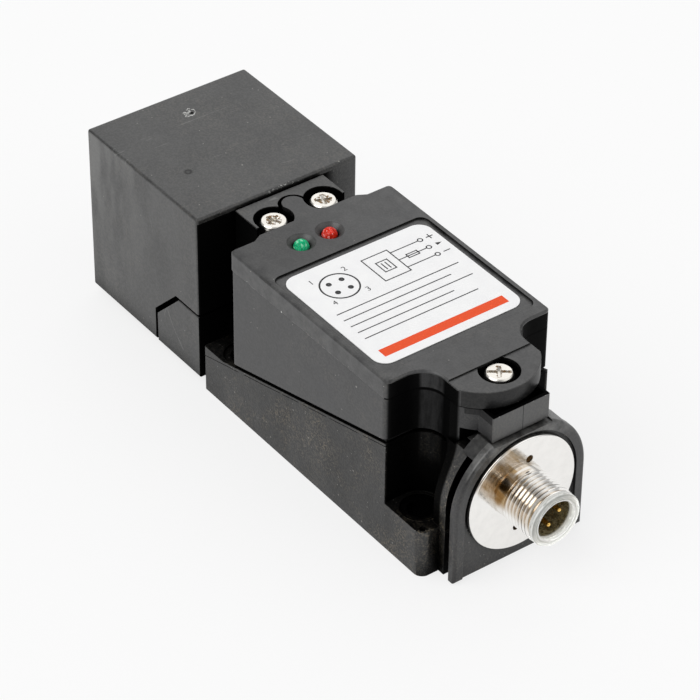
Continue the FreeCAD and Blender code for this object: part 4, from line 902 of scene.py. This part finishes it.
class SENSOR_OT_inside(bpy.types.Operator):
    """Finish the pieces inside the housings"""

    bl_idname = "sensor.inside"
    bl_label = "Inside pieces"

    def execute(self, context):
        look = context.scene.sensor_finish
        paint(bright_metal("nut nickel", look.nickel_colour, 0.18), "connector_nut")
        paint(bright_metal("turned brass", look.brass_colour, 0.28),
              "plate_insert", "base_inserts", "head_contacts", "socket_contacts")
        paint(bright_metal("contact gold inside", look.gold_colour, 0.2), "plug_pins", "head_pins")
        paint(cast_resin("carrier plastic", (0.13, 0.095, 0.04)),
              "connector_insert", "plug_socket", "coil_bobbin")
        paint(cast_resin("potting resin", (0.045, 0.043, 0.04)), "module_potting", "head_potting")
        paint(laminate("board laminate", (0.03, 0.16, 0.06)), "circuit_board", "head_board")
        paint(moulded("chip plastic", (0.02, 0.02, 0.021), look.grain, roughness=0.55, relief=0.006,
                      wear=0.2), "board_components")
        paint(ferrite("sintered ferrite", (0.07, 0.068, 0.07)), "ferrite_core")
        paint(wound_copper("enamelled copper", (0.72, 0.33, 0.14)), "coil_winding")
        paint(rubber("wire sleeve", (0.05, 0.05, 0.055)), "lead_wires")
        return {"FINISHED"}


class SENSOR_OT_connector(bpy.types.Operator):
    """Model the nickel barrel with its disc and thread, the clear ring and the gold pins"""

    bl_idname = "sensor.connector"
    bl_label = "Plug connector"

    def execute(self, context):
        size = context.scene.sensor_connector
        look = context.scene.sensor_finish
        steps = size.steps
        along = Matrix.Translation((0, 0, THREAD["pos_m"][2])) @ Matrix.Rotation(-math.pi / 2, 4, "Y")
        middle = -THREAD["pos_m"][0]
        half = THREAD["dims"]["length_mm"] * MM / 2
        thread_start, thread_end = middle - half - size.thread_lead, middle + half
        shell_low, shell_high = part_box("connector_shell")
        ring_low, ring_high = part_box("connector_sleeve")
        seat = -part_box("connector_gasket")[0][0]
        face = seat + size.disc_depth
        floor = -ring_high[0]
        tail = -shell_high[0]
        disc_radius = (shell_high[1] - shell_low[1]) / 2
        disc = turned([
            (size.neck_radius, face, 0),
            (size.neck_radius, thread_start, EDGE_ROUND),
            (size.bore, thread_start, 0),
            (size.bore, floor, 0),
            (size.tail_bore, floor, 0),
            (size.tail_bore, tail, 0),
            (size.tail_radius, tail, 0.2 * MM),
            (size.tail_radius, seat, 0),
            (disc_radius, seat, 0.15 * MM),
            (disc_radius, face, size.disc_round),
            (disc_radius - 2 * size.disc_round, face, 0),
        ], steps)
        holes = []
        rims = level_edges(disc, face)
        spot = Vector((math.cos(size.spanner_turn), -math.sin(size.spanner_turn), 0)) * size.spanner_circle
        for side in (1, -1):
            centre = (side * spot.x, side * spot.y, face)
            holes.append((ring_of_edges(disc, size.spanner_radius, centre, PIN_STEPS), centre))
            rims += holes[-1][0]
        filled(disc, rims)
        for edges, centre in holes:
            sink(disc, edges, depth=size.disc_depth * 0.95, taper=0.9, centre=centre)
        barrel = threaded(thread_start, thread_end, THREAD["dims"]["r_mm"] * MM, size.thread_depth,
                          size.pitch, steps, size.bore)
        nickel = bright_metal("bright nickel", look.nickel_colour, 0.08, reflection_and_tarnish=neck_reflection_and_tarnish)
        piece("connector_barrel", moved(joined([disc, barrel]), along), "base", nickel,
              ["connector_shell"])

        lining = size.ring_bore + size.ring_wall
        ring = turned([
            (size.ring_bore, floor, 0),
            (lining, floor, 0),
            (lining, thread_end, 0),
            (size.ring_radius, thread_end, EDGE_ROUND),
            (size.ring_radius, -ring_low[0], size.ring_round),
            (size.ring_bore, -ring_low[0], size.ring_round * 0.6),
        ], steps, closed=True)
        piece("connector_ring", moved(ring, along), "base", clear_plastic("clear ring"),
              ["connector_sleeve"])

        pin_low, pin_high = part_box("contact_pins")
        pins = []
        for turn in range(4):
            pin = turned([
                (0, -pin_high[0], 0),
                (size.pin_radius, -pin_high[0], 0.1 * MM),
                (size.pin_radius, -pin_low[0], size.pin_radius * 0.9),
                (0, -pin_low[0], 0),
            ], PIN_STEPS)
            place = Matrix.Translation((pin_high[1] - size.pin_radius, 0, 0))
            pins.append(moved(pin, Matrix.Rotation(turn * math.pi / 2, 4, "Z") @ place))
        piece("connector_pins", moved(joined(pins), along), "base",
              bright_metal("contact gold", look.gold_colour, 0.16), ["contact_pins"])
        return {"FINISHED"}


def cross_edges(bm, height, long_arm=None):
    """The closed outline of a cross recess at one height, with two arms longer for a slot."""
    size = bpy.context.scene.sensor_screws
    arm = size.arm
    reach = long_arm or arm
    half = size.slot_half if long_arm else size.arm_half
    corners = [(reach, half), (half, half), (half, arm), (-half, arm), (-half, half), (-reach, half),
               (-reach, -half), (-half, -half), (-half, -arm), (half, -arm), (half, -half), (reach, -half)]
    verts = [bm.verts.new((x, y, height)) for x, y in corners]
    return [bm.edges.new(pair) for pair in zip(verts, verts[1:] + verts[:1])]


def recessed(bm, height, long_arm=None):
    """Close a screw head's flat with a stained cross recess in it."""
    rims = level_edges(bm, height)
    recess = cross_edges(bm, height, long_arm)
    filled(bm, rims + recess)
    sink(bm, recess, bpy.context.scene.sensor_screws.recess, taper=0.62, centre=(0, 0, height),
         stain=0.60, floor_stain=0.40)


def pan_screw(place, seat, tip, turn, slotted):
    """A pan head screw that stands on its seat, with a cross recess and a thread above its tip."""
    size = bpy.context.scene.sensor_screws
    top = seat + size.head_height
    run = min(tip + size.thread_run, seat - 0.5 * MM)
    head = turned([
        (0, run, 0),
        (size.shank - size.thread_depth, run, 0),
        (size.shank, run + size.thread_depth, 0),
        (size.shank, seat, 0),
        (size.head_radius, seat, EDGE_ROUND),
        (size.head_radius, top - 0.3 * MM, 0.35 * MM),
        (size.crown, top, 0),
    ], size.steps)
    recessed(head, top, size.crown * 0.97 if slotted else None)
    thread = threaded(-run, -tip, size.shank, size.thread_depth, size.pitch, size.steps // 2)
    moved(thread, Matrix.Rotation(math.pi, 4, "X"))
    return moved(joined([head, thread]),
                 Matrix.Translation((place[0], place[1], 0)) @ Matrix.Rotation(turn, 4, "Z"))


class SENSOR_OT_screws(bpy.types.Operator):
    """Model the neck screws, the cover screw and the countersunk foot screws"""

    bl_idname = "sensor.screws"
    bl_label = "Screws"

    def execute(self, context):
        size = context.scene.sensor_screws
        steel = bright_metal("zinc plated steel", context.scene.sensor_finish.steel_colour, 0.22, grain=1.0)
        low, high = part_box("neck_screws")
        across = high[1] - size.head_radius
        middle = (low[0] + high[0]) / 2
        neck = [pan_screw((middle, side), high[2] - size.head_height, low[2], turn, False)
                for side, turn in ((across, size.neck_turn), (-across, size.other_turn))]
        piece("neck_screw_pair", joined(neck), "head", steel, ["neck_screws"])

        low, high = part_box("cover_screw")
        cover = pan_screw(centre_of("cover_screw"), high[2] - size.head_height, low[2], size.cover_turn, True)
        piece("cover_screw_slotted", cover, "cover", steel, ["cover_screw"])

        low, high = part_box("foot_screws")
        radius = (high[0] - low[0]) / 2
        shank, cone, brim = radius * 0.54, 0.6 * radius, 0.08 * radius
        top = -low[2]
        foot = []
        for side in (high[1] - radius, low[1] + radius):
            screw = turned([
                (0, -high[2], 0),
                (shank, -high[2], 0.4 * MM),
                (shank, top - cone, 0),
                (radius, top - brim, 0),
                (radius, top, 0.05 * MM),
                (radius * 0.75, top, 0),
            ], size.steps)
            recessed(screw, top)
            place = Matrix.Translation((centre_of("foot_screws").x, side, 0))
            foot.append(moved(screw, place @ Matrix.Rotation(math.pi, 4, "X")))
        piece("foot_screw_pair", joined(foot), "head", steel, ["foot_screws"])
        return {"FINISHED"}


class SENSOR_OT_lamps(bpy.types.Operator):
    """Model the green and the red lamp lens"""

    bl_idname = "sensor.lamps"
    bl_label = "Lamps"

    def execute(self, context):
        size = context.scene.sensor_lamps
        for node, slot, shade in (("led_green", "green_lens", size.green), ("led_red", "red_lens", size.red)):
            low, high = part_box(node)
            spot = centre_of(node)
            flange = (high[0] - low[0]) / 2
            radius = flange - 0.3 * MM
            sphere = (radius ** 2 + size.dome ** 2) / (2 * size.dome)
            slices = 6
            reaches = [radius * step / slices for step in range(slices - 1, 0, -1)]
            dome = [(reach, high[2] - sphere + math.sqrt(sphere ** 2 - reach ** 2), 0) for reach in reaches]
            lens = turned([
                (0, low[2], 0),
                (flange, low[2], 0.1 * MM),
                (flange, low[2] + radius, 0.1 * MM),
                (radius, low[2] + radius, 0),
                (radius, high[2] - size.dome, 0.06 * MM),
                *dome,
                (0, high[2], 0),
            ], LENS_STEPS)
            moved(lens, Matrix.Translation((spot.x, spot.y, 0)))
            piece(node + "_lens", lens, "cover", lamp_lens(node + " lens", shade), [node], smooth=50)
        return {"FINISHED"}


def slab(low, high, bottom, top):
    """A thin upright block between two corners in plan."""
    bm = bmesh.new()
    middle = Vector(((low[0] + high[0]) / 2, (low[1] + high[1]) / 2, (bottom + top) / 2))
    reach = (high[0] - low[0], high[1] - low[1], top - bottom, 1)
    bmesh.ops.create_cube(bm, size=1, matrix=Matrix.Translation(middle) @ Matrix.Diagonal(reach))
    return bm


class SENSOR_OT_label(bpy.types.Operator):
    """Lay the label film and print a generic pin picture, wiring, ruled lines and a plain stripe on it"""

    bl_idname = "sensor.label"
    bl_label = "Label"

    def execute(self, context):
        size = context.scene.sensor_label
        low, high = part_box("label")
        film = slab(low, high, low[2], high[2])
        corners = [edge for edge in film.edges
                   if abs(edge.verts[0].co.z - edge.verts[1].co.z) > size.film / 2]
        bmesh.ops.bevel(film, geom=corners, offset=size.corner, offset_type="OFFSET", segments=10,
                        profile=0.5, affect="EDGES", material=-1)
        piece("label_film", film, "cover", paper("label film"), ["label"])

        top = high[2]
        ink_top = top + size.ink
        ink = []

        def spot(right, up, height=0.0):
            """A place on the label, in millimetres, which is read with +X upwards."""
            return Matrix.Translation((up * MM, -right * MM, height))

        def line(right, up, far_right, far_up):
            """One printed line across or up the label."""
            half = size.line / 2
            across = sorted((-right * MM, -far_right * MM))
            along = sorted((up * MM, far_up * MM))
            ink.append(slab((along[0] - half, across[0] - half), (along[1] + half, across[1] + half),
                            top, ink_top))

        def frame_of(right, up, far_right, far_up):
            """Four printed lines that frame a box."""
            for level in (up, far_up):
                line(right, level, far_right, level)
            for side in (right, far_right):
                line(side, up, side, far_up)

        def ring(right, up, radius, width):
            """One printed ring."""
            inner = radius - width
            rows = [(inner, top, 0), (radius, top, 0), (radius, ink_top, 0), (inner, ink_top, 0)]
            ink.append(moved(turned(rows, LENS_STEPS, closed=True), spot(right, up)))

        def arrow(right, up, reach):
            """A printed arrow head that points to the right."""
            head = bmesh.new()
            shape = Matrix.Diagonal((0.6, 1, 1, 1)) @ Matrix.Rotation(math.pi, 4, "Z")
            bmesh.ops.create_cone(head, cap_ends=True, cap_tris=False, segments=3, radius1=reach,
                                  radius2=reach, depth=size.ink,
                                  matrix=spot(right, up, top + size.ink / 2) @ shape)
            ink.append(head)

        def figure(words, right, up):
            """One printed figure."""
            curve = bpy.data.curves.new("figure", "FONT")
            curve.body = words
            curve.size = size.figure
            curve.align_x = "CENTER"
            curve.align_y = "CENTER"
            curve.extrude = size.ink / 2
            holder = bpy.data.objects.new("figure", curve)
            mesh = bpy.data.meshes.new_from_object(holder)
            made = bmesh.new()
            made.from_mesh(mesh)
            bmesh.ops.remove_doubles(made, verts=made.verts[:], dist=0.001 * MM)
            upright = Matrix.Rotation(-math.pi / 2, 4, "Z")
            ink.append(moved(made, spot(right, up, top + size.ink / 2) @ upright))
            bpy.data.objects.remove(holder)
            bpy.data.curves.remove(curve)
            bpy.data.meshes.remove(mesh)

        pins_right, pins_up, pin_circle, figure_circle = -8.8, 5.2, 2.2, 5.7
        ring(pins_right, pins_up, 4.2 * MM, size.line * 1.4)
        for turn in range(4):
            direction = math.pi * (0.75 - turn / 2)
            across, up = math.cos(direction), math.sin(direction)
            ring(pins_right + pin_circle * across, pins_up + pin_circle * up, 0.6 * MM, 0.55 * MM)
            figure(str(turn + 1), pins_right + figure_circle * across, pins_up + figure_circle * up)
        box_edge, plus_row, load_row, minus_row = 5.8, 8.2, 5.3, 2.4
        frame_of(-0.5, 1.2, box_edge, 9.4)
        frame_of(1.3, 3.6, 4.0, 7.0)
        for bar in (2.2, 3.1):
            line(bar, 4.3, bar, 6.3)
        for row in (plus_row, load_row, minus_row):
            line(box_edge, row, 12.6, row)
            ring(13.3, row, 0.65 * MM, size.line)
        frame_of(8.0, load_row - 0.6, 10.6, load_row + 0.6)
        sign, stroke = 15.6, 0.7
        arrow(sign, load_row, 0.9 * MM)
        line(sign - stroke, plus_row, sign + stroke, plus_row)
        line(sign, plus_row - stroke, sign, plus_row + stroke)
        line(sign - stroke, minus_row, sign + stroke, minus_row)
        rule_start, first_rule, rule_gap = -14.8, -2.2, 2.3
        for row, reach in enumerate((14.8, 11.2, 14.8, 8.4, 12.6)):
            level = first_rule - rule_gap * row
            line(rule_start, level, reach, level)
        piece("label_print", joined(ink), "cover", print_ink("black print", size.ink_colour))
        margin, lower, upper = 2.5 * MM, low[0] + 2.2 * MM, low[0] + 4.6 * MM
        stripe = slab((lower, low[1] + margin), (upper, high[1] - margin), top, ink_top)
        piece("label_stripe", stripe, "cover", print_ink("red stripe", size.stripe_colour))
        return {"FINISHED"}


class SENSOR_OT_stage(bpy.types.Operator):
    """Set up the camera, the light and the floor"""

    bl_idname = "sensor.stage"
    bl_label = "Stage"

    def execute(self, context):
        scene = context.scene
        stage = scene.sensor_stage
        camera = placed("camera", bpy.data.cameras.new("camera"))
        camera.location = stage.camera_place
        camera.rotation_euler = stage.camera_turn
        camera.data.lens = stage.lens
        camera.data.sensor_width = 36
        camera.data.clip_start = 0.01
        scene.camera = camera
        scene.view_settings.view_transform = "Standard"

        studio = Shading(bpy.data.worlds.new("studio"), "Background")
        towards = studio.node("ShaderNodeTexCoord", output="Generated")

        def patch(direction, low, high):
            """A soft round patch of the sky in one direction."""
            return studio.vector("DOT_PRODUCT", towards, Vector(direction).normalized()).ramp(low, high)

        softbox = patch(stage.softbox_from, 0.80, 0.96) * stage.softbox
        fill = patch(stage.fill_from, 0.80, 0.95) * stage.fill
        dark_room = patch(stage.dark_from, 0.90, 0.97) * 0.94
        scene.world = studio.set(Color=(1, 1, 1), Strength=(stage.sky + softbox + fill) * (1 - dark_room))

        key = placed("key", bpy.data.lights.new("key", "SUN"))
        key.data.energy = stage.key
        key.data.angle = stage.key_angle
        key.rotation_euler = Vector(stage.key_from).to_track_quat("Z", "Y").to_euler()

        bm = bmesh.new()
        bmesh.ops.create_grid(bm, x_segments=1, y_segments=1, size=stage.floor_half)
        mesh = bpy.data.meshes.new("floor")
        bm.to_mesh(mesh)
        bm.free()
        finish = Finish("floor paper", Specular_IOR_Level=0.1, Roughness=0.8)
        mottle = finish.noise(40, 3)
        finish.set(Base_Color=finish.mix(mottle, stage.floor_colour, tint(stage.floor_colour, 0.99)))
        seen, glossy, clear = (finish.node("ShaderNodeLightPath", output=kind)
                               for kind in ("Is Camera Ray", "Is Glossy Ray", "Is Transmission Ray"))
        finish.cover(seen.at_least(glossy).at_least(clear) * stage.wash, "ShaderNodeEmission",
                     Color=(1, 1, 1), Strength=stage.white)
        finish.owner.cycles.emission_sampling = "NONE"
        mesh.materials.append(finish.owner)
        floor = placed("floor", mesh)
        return {"FINISHED"}


class SENSOR_PT_looks(bpy.types.Panel):
    """Lists the steps that dress the sensor"""

    bl_label = "Proximity Sensor Looks"
    bl_idname = "SENSOR_PT_looks"
    bl_space_type = "VIEW_3D"
    bl_region_type = "UI"
    bl_category = "Sensor"

    def draw(self, context):
        for step in STEPS:
            self.layout.operator(step.bl_idname)


SETTINGS = {
    "sensor_finish": FinishSettings,
    "sensor_connector": ConnectorSettings,
    "sensor_screws": ScrewSettings,
    "sensor_lamps": LampSettings,
    "sensor_label": LabelSettings,
    "sensor_stage": StageSettings,
}
STEPS = (SENSOR_OT_stage, SENSOR_OT_housings, SENSOR_OT_inside, SENSOR_OT_connector, SENSOR_OT_screws,
         SENSOR_OT_lamps, SENSOR_OT_label)


def register():
    for name, group in SETTINGS.items():
        bpy.utils.register_class(group)
        setattr(bpy.types.Scene, name, PointerProperty(type=group))
    for step in STEPS:
        bpy.utils.register_class(step)
    bpy.utils.register_class(SENSOR_PT_looks)


def unregister():
    bpy.utils.unregister_class(SENSOR_PT_looks)
    for step in reversed(STEPS):
        bpy.utils.unregister_class(step)
    for name, group in SETTINGS.items():
        delattr(bpy.types.Scene, name)
        bpy.utils.unregister_class(group)


def main():
    """Run every step in order."""
    register()
    bpy.ops.sensor.stage()
    bpy.ops.sensor.housings()
    bpy.ops.sensor.inside()
    bpy.ops.sensor.connector()
    bpy.ops.sensor.screws()
    bpy.ops.sensor.lamps()
    bpy.ops.sensor.label()


if __name__ == "__main__":
    main()
